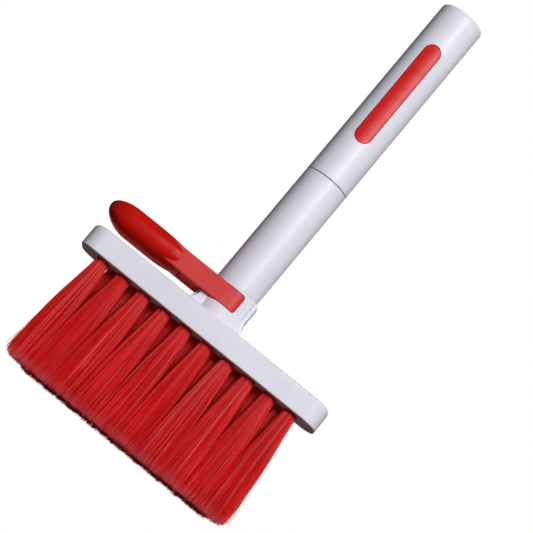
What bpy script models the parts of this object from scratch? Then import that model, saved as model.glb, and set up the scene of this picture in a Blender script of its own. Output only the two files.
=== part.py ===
"""Keyboard cleaning brush: a bar of bristle tufts, a cleaning pen as its handle and a keycap puller.

The brush stands on its bristle tips. +Z runs up the handle, +X along the bar, and -Y is the front.
The origin lies under the middle of the bar, in the plane of the tips. Lengths are in metres.
"""
import math

import bmesh
import bpy
from mathutils import Vector

# General
CLEARANCE = 0.0003  # left between two pieces that seat on or in each other
OVERRUN = 0.001  # how far a cutter, or a shape joined to another, runs past a face
EDGE_CHAMFER = 0.00025

# Bar of the brush head
BAR_LENGTH = 0.0842
BAR_DEPTH = 0.0152
BAR_HEIGHT = 0.0072
BAR_CORNER_RADIUS = 0.0052
BAR_TOP_FILLET = 0.0013
BAR_FOOT_FILLET = 0.0004
BAR_WALL = 0.0015

# Neck of the brush head: a round post with two pairs of stepped shoulders
NECK_HEIGHT = 0.0106
WIDE_STEP_REACH = 0.0009  # past the post's side
WIDE_STEP_DEPTH = 0.0056
NARROW_STEP_INSET = 0.0002  # inside the post's side
STEP_FLARE = 0.0032
STEP_FLARE_HEIGHT = 0.0050
STEP_DROP = 0.0001  # top of the narrow step below the neck's top, and of the wide one below that
STEP_CORNER_RADIUS = 0.0006
SLOT_ROOF = 0.0007  # of the neck above the slots for the puller's arms

# Bristle tufts
FRONT_TUFTS = 10
TUFT_DIAMETER = 0.00365
TUFT_LENGTH = 0.0378
END_MARGIN = 0.0083  # from the bar's end to the middle of its last tuft
ROW_MARGIN = 0.00485  # from the bar's side to the middle of a row
TIP_FAN = 0.00031  # how much further apart the tips of neighbours stand than their roots
TIP_ROW_FAN = 0.0033  # and those of the two rows
TIP_GAP = 0.0004  # between the tips of neighbours
TIP_ROW_GAP = 0.0010  # between the tips of the two rows
PLUG_DEPTH = 0.0022
SEAT_SHARE = 0.25  # how deep in its plug a strand starts
STRAND_ROOT_DIAMETER = 0.00056
STRAND_TIP_DIAMETER = 0.00110
STRAND_RINGS = (1, 6, 12)
STRAND_SIDES = 3
FLARE_PLACE_SHARE = 0.48  # how far down the bristles a tuft has flared out
FLARE_LENGTH_SHARE = 0.88  # how much of its growth along the bar a tuft has there
FLARE_DEPTH_SHARE = 0.55  # and of its growth across the bar

# Plate and wire anchors that hold the tufts
ANCHOR_HEIGHT = 0.0010
ANCHOR_THICKNESS = 0.00045
PLATE_ROOF = 0.0008

# Pen
PEN_DIAMETER = 0.0140
BARREL_LENGTH = 0.03995
CAP_LENGTH = 0.0634
CAP_END_THICKNESS = 0.0030
CAP_END_RADIUS = 0.0010
CAP_WALL = 0.0018
CAP_RIM_WALL = 0.0007  # round the barrel's spigot
SPIGOT_WALL = 0.0016
SPIGOT_LENGTH = 0.0060
TOOL_BORE_DEPTH = 0.0230

# Inlay in the front of the cap
INLAY_LENGTH = 0.0366
INLAY_WIDTH = 0.0054
INLAY_THICKNESS = 0.0008
INLAY_ABOVE_SEAM = 0.0135

# Nib and its holder, in the lower end of the barrel and in the neck
HOLDER_DIAMETER = 0.0060
HOLDER_DEPTH = 0.0120
HOLDER_SPIGOT_DIAMETER = 0.0050
HOLDER_SPIGOT_LENGTH = 0.0046
NIB_DIAMETER = 0.0020
NIB_TIP_DIAMETER = 0.0004
NIB_REACH = 0.0064
NIB_SHANK_LENGTH = 0.0030

# Double-ended tool in the barrel and the cap
CARRIER_PLUG_LENGTH = 0.0084
CARRIER_COLLAR_HEIGHT = 0.0020
CARRIER_STALK_DIAMETER = 0.0060
CARRIER_STALK_LENGTH = 0.0130
TOOL_STEM_DIAMETER = 0.0024
TOOL_STEM_LENGTH = 0.0040
FINE_BRUSH_ROOT_DIAMETER = 0.0042
FINE_BRUSH_DIAMETER = 0.0056
FINE_BRUSH_LENGTH = 0.0100
FINE_BRUSH_BELLY_SHARE = 0.67  # how far down the fine brush it is widest
SPONGE_DIAMETER = 0.0054
SPONGE_LENGTH = 0.0150
SPONGE_DOME_END = 75  # degrees, where the flat on top of its dome begins

# Keycap puller
PULLER_LENGTH = 0.0472
ARM_REACH = 0.0039  # how far the arms' ends lie past the neck's axis
ARM_HEIGHT = 0.0060
ARM_THICKNESS = 0.0020
ARM_CORNER_RADIUS = 0.0009
LIP_LENGTH = 0.0015
LIP_DEPTH = 0.0006
LIP_RAMP = 0.0008
PAD_LENGTH = 0.0273
PAD_WIDTH = 0.0166
PAD_HEIGHT = 0.0083
PAD_DROP = 0.0001  # centre of the pad's belly below the middle of the arms
PAD_NOSE_RISE = 0.0008  # tip of its nose above the middle of the arms
PAD_NOSE_LENGTH = 0.0085
PAD_NOSE_START = 8  # degrees, where the rounding of the nose begins
PAD_TAIL_LENGTH = 0.0110
PAD_TAIL_WIDTH_SHARE = 0.78
PAD_TAIL_HEIGHT_SHARE = 0.71
PAD_SECTION_POWER = 3.2  # 2 gives an ellipse, more a fuller oval

# Smoothness
ROUND_STEPS = 48
SMALL_ROUND_STEPS = 24
HOLE_STEPS = 12
CORNER_STEPS = 6
FILLET_STEPS = 3
FOOT_STEPS = 2
SMOOTH_ANGLE = 35  # degrees, edges sharper than this stay creased
PAD_SECTION_STEPS = 28
PAD_NOSE_STEPS = 6
PAD_TAIL_STEPS = 4

# Heights and radii that follow from the sizes above
BAR_TOP = BAR_HEIGHT
NECK_TOP = BAR_TOP + NECK_HEIGHT
PEN_RADIUS = PEN_DIAMETER / 2
CAP_BORE = PEN_RADIUS - CAP_WALL
CAP_SOCKET = PEN_RADIUS - CAP_RIM_WALL
SPIGOT_RADIUS = CAP_SOCKET - CLEARANCE
TOOL_BORE = SPIGOT_RADIUS - SPIGOT_WALL
TUFT_PITCH = (BAR_LENGTH - 2 * END_MARGIN) / (FRONT_TUFTS - 1)
ROW_SPACING = BAR_DEPTH - 2 * ROW_MARGIN
TIP_PITCH = TUFT_PITCH + TIP_FAN
TIP_ROW_SPACING = ROW_SPACING + TIP_ROW_FAN
TUFT_RADIUS = TUFT_DIAMETER / 2
HOLE_RADIUS = TUFT_RADIUS + CLEARANCE
HOLE_DEPTH = PLUG_DEPTH + ANCHOR_HEIGHT + 2 * CLEARANCE
PLATE_THICKNESS = HOLE_DEPTH + PLATE_ROOF
ARM_INNER = PEN_RADIUS - ARM_THICKNESS
ARM_FOOT = NECK_TOP - SLOT_ROOF - CLEARANCE - ARM_HEIGHT
NECK_FLAT = ARM_INNER - LIP_DEPTH - CLEARANCE
WIDE_STEP = PEN_RADIUS + WIDE_STEP_REACH
NARROW_STEP = PEN_RADIUS - NARROW_STEP_INSET
FORK_ROOT = ARM_REACH - PULLER_LENGTH + PAD_LENGTH
STEM_HOLE_DEPTH = TOOL_STEM_LENGTH + CLEARANCE
STEM_HOLE_RADIUS = TOOL_STEM_DIAMETER / 2 + CLEARANCE

# Colours in linear light, with roughness and metallic value
FINISHES = {
    "white_plastic": ((0.68, 0.67, 0.74), 0.42, 0.0),
    "red_bristle": ((0.46, 0.018, 0.022), 0.55, 0.0),
    "red_plastic": ((0.60, 0.030, 0.026), 0.32, 0.0),
    "red_inlay": ((0.66, 0.030, 0.030), 0.38, 0.0),
    "steel": ((0.60, 0.60, 0.61), 0.28, 1.0),
    "black_bristle": ((0.03, 0.03, 0.03), 0.60, 0.0),
    "grey_sponge": ((0.20, 0.20, 0.21), 0.95, 0.0),
}


def clear_scene():
    """Remove whatever the open file holds."""
    for item in list(bpy.data.objects):
        bpy.data.objects.remove(item, do_unlink=True)


def material(name):
    """The named finish as a Principled material, made once."""
    made = bpy.data.materials.get(name)
    if made:
        return made
    colour, roughness, metallic = FINISHES[name]
    made = bpy.data.materials.new(name)
    made.use_nodes = True
    shader = made.node_tree.nodes["Principled BSDF"]
    shader.inputs["Base Color"].default_value = (*colour, 1)
    shader.inputs["Roughness"].default_value = roughness
    shader.inputs["Metallic"].default_value = metallic
    made.diffuse_color = (*colour, 1)
    return made


def group(name, height, parent=None):
    """An empty that carries the pieces of one body, at a height above its parent."""
    empty = bpy.data.objects.new(name, None)
    bpy.context.collection.objects.link(empty)
    empty.location = (0, 0, height)
    empty.parent = parent
    return empty


def piece(name, mesh, finish, parent):
    """Link a mesh as one piece of a body, shaded smooth over its round stretches."""
    mesh.shade_smooth()
    mesh.set_sharp_from_angle(angle=math.radians(SMOOTH_ANGLE))
    made = bpy.data.objects.new(name, mesh)
    bpy.context.collection.objects.link(made)
    made.data.materials.append(material(finish))
    made.parent = parent
    return made


def guide(name, mesh, parent):
    """Link a mesh that only cuts or joins another piece."""
    made = bpy.data.objects.new(name, mesh)
    bpy.context.collection.objects.link(made)
    made.parent = parent
    made.hide_render = True
    made.display_type = "WIRE"
    return made


def combine(body, other, operation):
    """Cut, join or intersect a piece with a guide."""
    step = body.modifiers.new(operation.lower(), "BOOLEAN")
    step.operation = operation
    step.solver = "EXACT"
    step.object = other


def lofted(name, loops, joined_ends=False):
    """Skin equal loops of points in order, with flat caps or with the last loop joined to the first."""
    bm = bmesh.new()
    rows = [[bm.verts.new(point) for point in loop] for loop in loops]
    pairs = list(zip(rows, rows[1:]))
    if joined_ends:
        pairs.append((rows[-1], rows[0]))
    else:
        bm.faces.new(rows[0])
        bm.faces.new(rows[-1])
    for lower, upper in pairs:
        for index in range(len(lower)):
            following = (index + 1) % len(lower)
            bm.faces.new((lower[index], lower[following], upper[following], upper[index]))
    bmesh.ops.recalc_face_normals(bm, faces=bm.faces)
    mesh = bpy.data.meshes.new(name)
    bm.to_mesh(mesh)
    bm.free()
    return mesh


def ring(radius, height, steps, centre=(0, 0)):
    """A level circle of points."""
    turns = [2 * math.pi * index / steps for index in range(steps)]
    return [
        Vector((centre[0] + radius * math.cos(turn), centre[1] + radius * math.sin(turn), height))
        for turn in turns
    ]


def turned(name, profile, steps=ROUND_STEPS, joined_ends=False, centre=(0, 0)):
    """A solid turned about Z from (radius, height) points."""
    loops = [ring(radius, height, steps, centre) for radius, height in profile]
    return lofted(name, loops, joined_ends)


def arc(centre, radii, start, end, steps):
    """Points along a quarter or half of a circle or ellipse, angles in degrees."""
    angles = [math.radians(start + (end - start) * index / steps) for index in range(steps + 1)]
    return [
        (centre[0] + radii[0] * math.cos(angle), centre[1] + radii[1] * math.sin(angle))
        for angle in angles
    ]


def rounded_rectangle(length, depth, radius):
    """Outline of a rectangle with round corners, counter-clockwise."""
    x = length / 2 - radius
    y = depth / 2 - radius
    radii = (radius, radius)
    return (
        arc((x, y), radii, 0, 90, CORNER_STEPS)
        + arc((-x, y), radii, 90, 180, CORNER_STEPS)
        + arc((-x, -y), radii, 180, 270, CORNER_STEPS)
        + arc((x, -y), radii, 270, 360, CORNER_STEPS)
    )


def slab(name, length, depth, radius, levels):
    """A rounded slab from (height, inset) levels."""
    loops = []
    for height, inset in levels:
        outline = rounded_rectangle(length - 2 * inset, depth - 2 * inset, radius - inset)
        loops.append([Vector((x, y, height)) for x, y in outline])
    return lofted(name, loops)


def front_prism(name, outline, near, far):
    """An outline in X and Z, carried along Y from near to far."""
    return lofted(name, [[Vector((x, y, z)) for x, z in outline] for y in (near, far)])


def level_prism(name, outline, foot, top):
    """An outline in X and Y, carried along Z from foot to top."""
    return lofted(name, [[Vector((x, y, z)) for x, y in outline] for z in (foot, top)])


def box(name, low, high):
    """A box between two corners."""
    outline = [(low[0], low[1]), (high[0], low[1]), (high[0], high[1]), (low[0], high[1])]
    return level_prism(name, outline, low[2], high[2])


def bar_levels():
    """Heights and insets of the bar, whose lower and upper edges are rounded."""
    foot = arc((BAR_FOOT_FILLET, BAR_FOOT_FILLET), (BAR_FOOT_FILLET, BAR_FOOT_FILLET), 270, 180, FOOT_STEPS)
    top_centre = (BAR_TOP_FILLET, BAR_TOP - BAR_TOP_FILLET)
    top = arc(top_centre, (BAR_TOP_FILLET, BAR_TOP_FILLET), 180, 90, FILLET_STEPS)
    return [(height, inset) for inset, height in foot + top]


def step_outline(half, top):
    """A shoulder of the neck seen from the front, its foot flared and its upper corners rounded."""
    foot = BAR_TOP - BAR_TOP_FILLET
    corner = (half - STEP_CORNER_RADIUS, top - STEP_CORNER_RADIUS)
    corner_radii = (STEP_CORNER_RADIUS, STEP_CORNER_RADIUS)
    flare_centre = (half + STEP_FLARE, BAR_TOP + STEP_FLARE_HEIGHT)
    right = [(half + STEP_FLARE, foot)]
    right += arc(flare_centre, (STEP_FLARE, STEP_FLARE_HEIGHT), 270, 180, FILLET_STEPS + 1)
    right += arc(corner, corner_radii, 0, 90, FILLET_STEPS)
    return right + [(-x, z) for x, z in reversed(right)]


def rounded_end(right, middle, half, radius):
    """Right end of an arm or of its slot in X and Z, from the top down."""
    radii = (radius, radius)
    upper = arc((right - radius, middle + half - radius), radii, 90, 0, FILLET_STEPS)
    lower = arc((right - radius, middle - half + radius), radii, 360, 270, FILLET_STEPS)
    return upper + lower


def build_head_shell(head):
    """Bar and neck in one moulding, open below for the plate and above for the pen's nib."""
    levels = bar_levels()
    shell = piece(
        "head_shell",
        slab("head_shell", BAR_LENGTH, BAR_DEPTH, BAR_CORNER_RADIUS, levels),
        "white_plastic",
        head,
    )
    post = turned("neck_post", [(PEN_RADIUS, BAR_TOP - BAR_TOP_FILLET), (PEN_RADIUS, NECK_TOP)])
    combine(shell, guide("neck_post", post, head), "UNION")
    shoulders = (
        ("wide_step", WIDE_STEP, WIDE_STEP_DEPTH / 2, NECK_TOP - 2 * STEP_DROP),
        ("narrow_step", NARROW_STEP, ARM_INNER, NECK_TOP - STEP_DROP),
    )
    for name, half_length, half_depth, top in shoulders:
        outline = step_outline(half_length, top)
        combine(shell, guide(name, front_prism(name, outline, -half_depth, half_depth), head), "UNION")

    recess_levels = [(-OVERRUN, 0), (PLATE_THICKNESS + CLEARANCE, 0)]
    recess = slab(
        "plate_recess",
        BAR_LENGTH - 2 * BAR_WALL,
        BAR_DEPTH - 2 * BAR_WALL,
        BAR_CORNER_RADIUS - BAR_WALL,
        recess_levels,
    )
    combine(shell, guide("plate_recess", recess, head), "DIFFERENCE")

    bore_radius = HOLDER_SPIGOT_DIAMETER / 2 + CLEARANCE
    bore_foot = NECK_TOP - HOLDER_SPIGOT_LENGTH - NIB_REACH
    bore = turned("nib_bore", [(bore_radius, bore_foot), (bore_radius, NECK_TOP + OVERRUN)], SMALL_ROUND_STEPS)
    combine(shell, guide("nib_bore", bore, head), "DIFFERENCE")

    slot_left = -WIDE_STEP - STEP_FLARE - OVERRUN
    half_slot = ARM_HEIGHT / 2 + CLEARANCE
    middle = ARM_FOOT + ARM_HEIGHT / 2
    slot_end = rounded_end(ARM_REACH + CLEARANCE, middle, half_slot, ARM_CORNER_RADIUS + CLEARANCE)
    outline = [(slot_left, middle + half_slot)] + slot_end + [(slot_left, middle - half_slot)]
    for side, name in ((-1, "front_slot"), (1, "back_slot")):
        slot = front_prism(name, outline, side * NECK_FLAT, side * (PEN_RADIUS + OVERRUN))
        combine(shell, guide(name, slot, head), "DIFFERENCE")


def tuft_places():
    """Name, row side and count from the middle of the bar of every tuft."""
    front = [("front_%02d" % (index + 1), -1, index - (FRONT_TUFTS - 1) / 2) for index in range(FRONT_TUFTS)]
    back = [("back_%02d" % (index + 1), 1, index - (FRONT_TUFTS - 2) / 2) for index in range(FRONT_TUFTS - 1)]
    return front + back


def strand_pattern():
    """Where the strands of a tuft stand, in a circle of radius one."""
    spots = []
    for number, count in enumerate(STRAND_RINGS):
        radius = number / (len(STRAND_RINGS) - 1)
        for index in range(count):
            turn = 2 * math.pi * (index + 0.5) / count
            spots.append((radius * math.cos(turn), radius * math.sin(turn)))
    return spots


def strand_loops(spot, turn, levels):
    """Loops of one strand through the (centre, spread, radius, height) levels of its tuft."""
    loops = []
    for centre, spread, radius, height in levels:
        middle = (centre[0] + spot[0] * spread[0], centre[1] + spot[1] * spread[1])
        loop = []
        for side in range(STRAND_SIDES):
            angle = turn + 2 * math.pi * side / STRAND_SIDES
            loop.append(
                Vector((middle[0] + radius * math.cos(angle), middle[1] + radius * math.sin(angle), height))
            )
        loops.append(loop)
    return loops


def tuft_levels(side, count):
    """Levels of a tuft from inside its plug down to the tips, flaring early and then falling straight."""
    root = (count * TUFT_PITCH, side * ROW_SPACING / 2)
    tip = (count * TIP_PITCH, side * TIP_ROW_SPACING / 2)
    root_radius = STRAND_ROOT_DIAMETER / 2
    tip_radius = STRAND_TIP_DIAMETER / 2
    root_spread = TUFT_RADIUS - root_radius - EDGE_CHAMFER
    tip_length = TIP_PITCH - TIP_GAP
    tip_depth = TIP_ROW_SPACING - TIP_ROW_GAP
    tip_spread = (tip_length / 2 - tip_radius, tip_depth / 2 - tip_radius)

    def between(start, end, share):
        return start + (end - start) * share

    middle = tuple(between(root[axis], tip[axis], FLARE_PLACE_SHARE) for axis in (0, 1))
    middle_spread = (
        between(root_spread, tip_spread[0], FLARE_LENGTH_SHARE),
        between(root_spread, tip_spread[1], FLARE_DEPTH_SHARE),
    )
    middle_radius = between(root_radius, tip_radius, FLARE_PLACE_SHARE)
    return [
        (root, (root_spread, root_spread), root_radius, PLUG_DEPTH * SEAT_SHARE),
        (middle, middle_spread, middle_radius, -TUFT_LENGTH * FLARE_PLACE_SHARE),
        (tip, tip_spread, tip_radius, -TUFT_LENGTH),
    ]


def strands_mesh(name, levels):
    """All strands of a tuft in one mesh."""
    bm = bmesh.new()
    for number, spot in enumerate(strand_pattern()):
        rows = [[bm.verts.new(point) for point in loop] for loop in strand_loops(spot, number, levels)]
        bm.faces.new(rows[0])
        bm.faces.new(rows[-1])
        for upper, lower in zip(rows, rows[1:]):
            for index in range(STRAND_SIDES):
                following = (index + 1) % STRAND_SIDES
                bm.faces.new((upper[index], upper[following], lower[following], lower[index]))
    bmesh.ops.recalc_face_normals(bm, faces=bm.faces)
    mesh = bpy.data.meshes.new(name)
    bm.to_mesh(mesh)
    bm.free()
    return mesh


def build_tufts(head):
    """Each tuft: strands fused to the plug that stands in its hole, with its wire anchor above."""
    for name, side, count in tuft_places():
        centre = (count * TUFT_PITCH, side * ROW_SPACING / 2)
        plug = turned(
            "tuft_" + name, [(TUFT_RADIUS, 0), (TUFT_RADIUS, PLUG_DEPTH)], HOLE_STEPS, centre=centre
        )
        tuft = piece("tuft_" + name, plug, "red_bristle", head)
        strands = strands_mesh("strands_" + name, tuft_levels(side, count))
        combine(tuft, guide("strands_" + name, strands, head), "UNION")

        anchor_foot = PLUG_DEPTH + CLEARANCE
        anchor = box(
            "anchor_" + name,
            (centre[0] - TUFT_RADIUS, centre[1] - ANCHOR_THICKNESS / 2, anchor_foot),
            (centre[0] + TUFT_RADIUS, centre[1] + ANCHOR_THICKNESS / 2, anchor_foot + ANCHOR_HEIGHT),
        )
        piece("anchor_" + name, anchor, "steel", head)


def build_tuft_plate(head):
    """Plate in the underside of the bar, with a blind hole for each tuft."""
    gap = BAR_WALL + CLEARANCE
    plate = piece(
        "tuft_plate",
        slab(
            "tuft_plate",
            BAR_LENGTH - 2 * gap,
            BAR_DEPTH - 2 * gap,
            BAR_CORNER_RADIUS - gap,
            [(0, 0), (PLATE_THICKNESS, 0)],
        ),
        "white_plastic",
        head,
    )
    for name, side, count in tuft_places():
        centre = (count * TUFT_PITCH, side * ROW_SPACING / 2)
        hole = turned(
            "hole_" + name, [(HOLE_RADIUS, -OVERRUN), (HOLE_RADIUS, HOLE_DEPTH)], HOLE_STEPS, centre=centre
        )
        combine(plate, guide("hole_" + name, hole, head), "DIFFERENCE")


def build_pen_barrel(pen):
    """Lower half of the pen: a tube with a spigot for the cap and a bore at each end."""
    holder_bore = HOLDER_DIAMETER / 2 + CLEARANCE
    top = BARREL_LENGTH + SPIGOT_LENGTH
    profile = [
        (holder_bore, 0),
        (PEN_RADIUS, 0),
        (PEN_RADIUS, BARREL_LENGTH),
        (SPIGOT_RADIUS, BARREL_LENGTH),
        (SPIGOT_RADIUS, top - EDGE_CHAMFER),
        (SPIGOT_RADIUS - EDGE_CHAMFER, top),
        (TOOL_BORE, top),
        (TOOL_BORE, top - TOOL_BORE_DEPTH),
        (holder_bore, top - TOOL_BORE_DEPTH),
    ]
    piece("pen_barrel", turned("pen_barrel", profile, joined_ends=True), "white_plastic", pen)


def build_nib(pen):
    """Plug in the barrel's lower end with the steel nib, both parked in the neck."""
    body = HOLDER_DIAMETER / 2
    spigot = HOLDER_SPIGOT_DIAMETER / 2
    nib_hole = NIB_DIAMETER / 2 + CLEARANCE
    hole_top = NIB_SHANK_LENGTH + CLEARANCE - HOLDER_SPIGOT_LENGTH
    holder = [
        (nib_hole, hole_top),
        (nib_hole, -HOLDER_SPIGOT_LENGTH),
        (spigot - EDGE_CHAMFER, -HOLDER_SPIGOT_LENGTH),
        (spigot, EDGE_CHAMFER - HOLDER_SPIGOT_LENGTH),
        (spigot, 0),
        (body, 0),
        (body, HOLDER_DEPTH - EDGE_CHAMFER),
        (body - EDGE_CHAMFER, HOLDER_DEPTH),
    ]
    piece("nib_holder", turned("nib_holder", holder, SMALL_ROUND_STEPS), "white_plastic", pen)

    nib_top = NIB_SHANK_LENGTH - HOLDER_SPIGOT_LENGTH
    taper_top = -HOLDER_SPIGOT_LENGTH - NIB_DIAMETER
    nib = [
        (NIB_DIAMETER / 2, nib_top),
        (NIB_DIAMETER / 2, taper_top),
        (NIB_TIP_DIAMETER / 2, -HOLDER_SPIGOT_LENGTH - NIB_REACH),
    ]
    piece("metal_nib", turned("metal_nib", nib, SMALL_ROUND_STEPS), "steel", pen)


def stadium(length, width, middle):
    """Outline in X and Z of an upright slot shape with round ends."""
    radius = width / 2
    reach = length / 2 - radius
    radii = (radius, radius)
    upper = arc((0, middle + reach), radii, 0, 180, 2 * CORNER_STEPS)
    lower = arc((0, middle - reach), radii, 180, 360, 2 * CORNER_STEPS)
    return upper + lower


def build_pen_cap(cap):
    """Upper half of the pen with its inlay, flush in a pocket in the front."""
    inner_top = CAP_LENGTH - CAP_END_THICKNESS
    profile = [
        (CAP_BORE, inner_top),
        (CAP_BORE, SPIGOT_LENGTH),
        (CAP_SOCKET, SPIGOT_LENGTH),
        (CAP_SOCKET, 0),
        (PEN_RADIUS, 0),
    ]
    end_centre = (PEN_RADIUS - CAP_END_RADIUS, CAP_LENGTH - CAP_END_RADIUS)
    profile += arc(end_centre, (CAP_END_RADIUS, CAP_END_RADIUS), 0, 90, FILLET_STEPS)
    shell = piece("pen_cap", turned("pen_cap", profile), "white_plastic", cap)

    middle = INLAY_ABOVE_SEAM + INLAY_LENGTH / 2
    floor = PEN_RADIUS - INLAY_THICKNESS
    low = INLAY_ABOVE_SEAM - OVERRUN
    high = INLAY_ABOVE_SEAM + INLAY_LENGTH + OVERRUN

    def core(name, radius):
        return guide(name, turned(name, [(radius, low), (radius, high)]), cap)

    def prism(name, growth):
        outline = stadium(INLAY_LENGTH + 2 * growth, INLAY_WIDTH + 2 * growth, middle)
        return front_prism(name, outline, -PEN_RADIUS - OVERRUN, -CAP_BORE)

    pocket = guide("inlay_pocket", prism("inlay_pocket", CLEARANCE), cap)
    combine(pocket, core("pocket_floor", floor - CLEARANCE), "DIFFERENCE")
    combine(shell, pocket, "DIFFERENCE")

    inlay = piece("cap_inlay", prism("cap_inlay", 0), "red_inlay", cap)
    combine(inlay, core("inlay_face", PEN_RADIUS), "INTERSECT")
    combine(inlay, core("inlay_back", floor), "DIFFERENCE")


def build_tool(tool):
    """Double-ended tool: a collar on the barrel's rim, a fine brush below it and a sponge above."""
    plug = TOOL_BORE - CLEARANCE
    collar = CAP_BORE - CLEARANCE
    stalk = CARRIER_STALK_DIAMETER / 2
    stalk_top = CARRIER_COLLAR_HEIGHT + CARRIER_STALK_LENGTH
    carrier = [
        (STEM_HOLE_RADIUS, stalk_top - STEM_HOLE_DEPTH),
        (STEM_HOLE_RADIUS, stalk_top),
        (stalk - EDGE_CHAMFER, stalk_top),
        (stalk, stalk_top - EDGE_CHAMFER),
        (stalk, CARRIER_COLLAR_HEIGHT),
        (collar - EDGE_CHAMFER, CARRIER_COLLAR_HEIGHT),
        (collar, CARRIER_COLLAR_HEIGHT - EDGE_CHAMFER),
        (collar, 0),
        (plug, 0),
        (plug, EDGE_CHAMFER - CARRIER_PLUG_LENGTH),
        (plug - EDGE_CHAMFER, -CARRIER_PLUG_LENGTH),
        (STEM_HOLE_RADIUS, -CARRIER_PLUG_LENGTH),
        (STEM_HOLE_RADIUS, STEM_HOLE_DEPTH - CARRIER_PLUG_LENGTH),
    ]
    piece("tool_carrier", turned("tool_carrier", carrier, SMALL_ROUND_STEPS), "white_plastic", tool)

    stem = TOOL_STEM_DIAMETER / 2
    brush_top = -CARRIER_PLUG_LENGTH - CLEARANCE
    brush = [
        (stem, TOOL_STEM_LENGTH + brush_top),
        (stem, brush_top),
        (FINE_BRUSH_ROOT_DIAMETER / 2, brush_top),
        (FINE_BRUSH_DIAMETER / 2, brush_top - FINE_BRUSH_LENGTH * FINE_BRUSH_BELLY_SHARE),
        (FINE_BRUSH_ROOT_DIAMETER / 2, brush_top - FINE_BRUSH_LENGTH),
    ]
    piece("fine_brush", turned("fine_brush", brush, SMALL_ROUND_STEPS), "black_bristle", tool)

    sponge_foot = stalk_top + CLEARANCE
    radius = SPONGE_DIAMETER / 2
    sponge = [
        (stem, sponge_foot - TOOL_STEM_LENGTH),
        (stem, sponge_foot),
        (radius - EDGE_CHAMFER, sponge_foot),
        (radius, sponge_foot + EDGE_CHAMFER),
    ]
    dome_centre = (0, sponge_foot + SPONGE_LENGTH - radius)
    sponge += arc(dome_centre, (radius, radius), 0, SPONGE_DOME_END, FILLET_STEPS)
    piece("flock_sponge", turned("flock_sponge", sponge, SMALL_ROUND_STEPS), "grey_sponge", tool)


def pad_stations():
    """Place, width and height of the pad's sections from its nose to the root of the fork."""
    nose_end = ARM_REACH - PULLER_LENGTH
    stations = []
    for index in range(PAD_NOSE_STEPS + 1):
        angle = math.radians(PAD_NOSE_START + (90 - PAD_NOSE_START) * index / PAD_NOSE_STEPS)
        place = nose_end + PAD_NOSE_LENGTH * (1 - math.cos(angle))
        stations.append((place, math.sin(angle), math.sin(angle)))
    for index in range(PAD_TAIL_STEPS + 1):
        share = index / PAD_TAIL_STEPS
        place = FORK_ROOT - PAD_TAIL_LENGTH * (1 - share)
        fall = share**3
        width = 1 - (1 - PAD_TAIL_WIDTH_SHARE) * fall
        height = 1 - (1 - PAD_TAIL_HEIGHT_SHARE) * fall
        stations.append((place, width, height))
    return stations


def oval(place, half_width, half_height, middle):
    """A full oval in Y and Z."""
    loop = []
    for index in range(PAD_SECTION_STEPS):
        turn = 2 * math.pi * (index + 0.5) / PAD_SECTION_STEPS
        across = math.copysign(abs(math.cos(turn)) ** (2 / PAD_SECTION_POWER), math.cos(turn))
        up = math.copysign(abs(math.sin(turn)) ** (2 / PAD_SECTION_POWER), math.sin(turn))
        loop.append(Vector((place, half_width * across, middle + half_height * up)))
    return loop


def build_keycap_puller(puller):
    """Fork with two arms that straddle the neck and a thumb pad over the left end of the bar."""
    loops = []
    for place, width, height in pad_stations():
        middle = PAD_NOSE_RISE * (1 - height) - PAD_DROP * height
        loops.append(oval(place, PAD_WIDTH / 2 * width, PAD_HEIGHT / 2 * height, middle))
    fork = piece("keycap_puller", lofted("keycap_puller", loops), "red_plastic", puller)

    half_arm = ARM_HEIGHT / 2
    buried = FORK_ROOT - PAD_TAIL_LENGTH
    horn = FORK_ROOT - PAD_TAIL_LENGTH / 2
    end_angle = math.degrees(math.acos(ARM_REACH / PEN_RADIUS))
    outer = arc((0, 0), (PEN_RADIUS, PEN_RADIUS), 90, end_angle, CORNER_STEPS)
    plan = [(buried, PEN_RADIUS)] + outer + [
        (ARM_REACH, ARM_INNER - LIP_DEPTH),
        (ARM_REACH - LIP_LENGTH, ARM_INNER - LIP_DEPTH),
        (ARM_REACH - LIP_LENGTH - LIP_RAMP, ARM_INNER),
        (buried, ARM_INNER),
    ]
    root = [(horn, -half_arm), (buried - OVERRUN, -half_arm / 2), (buried - OVERRUN, half_arm / 2), (horn, half_arm)]
    elevation = rounded_end(ARM_REACH, 0, half_arm, ARM_CORNER_RADIUS) + root
    for side, name in ((-1, "front_arm"), (1, "back_arm")):
        outline = [(x, side * y) for x, y in plan]
        arm = guide(name, level_prism(name, outline, -half_arm - OVERRUN, half_arm + OVERRUN), puller)
        profile_name = name + "_profile"
        reach = PEN_RADIUS + OVERRUN
        profile = guide(profile_name, front_prism(profile_name, elevation, -reach, reach), puller)
        combine(arm, profile, "INTERSECT")
        combine(fork, arm, "UNION")


def build():
    """The whole brush, each body under its own empty."""
    clear_scene()
    head = group("head_group", TUFT_LENGTH)
    build_head_shell(head)
    build_tuft_plate(head)
    build_tufts(head)
    pen = group("pen_group", NECK_TOP + CLEARANCE, head)
    build_pen_barrel(pen)
    build_nib(pen)
    build_pen_cap(group("cap_group", BARREL_LENGTH + CLEARANCE, pen))
    build_tool(group("tool_group", BARREL_LENGTH + SPIGOT_LENGTH + CLEARANCE, pen))
    build_keycap_puller(group("puller_group", ARM_FOOT + ARM_HEIGHT / 2, head))


build()
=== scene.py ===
"""Keyboard cleaning brush, dressed: smooth mouldings, bristles, materials, light and camera.

Lengths are in metres, in the part's own frame: +Z runs up the handle, +X along the bar, -Y is the front.
"""
import math

import bmesh
import bpy
from mathutils import Matrix, Vector, noise


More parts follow.
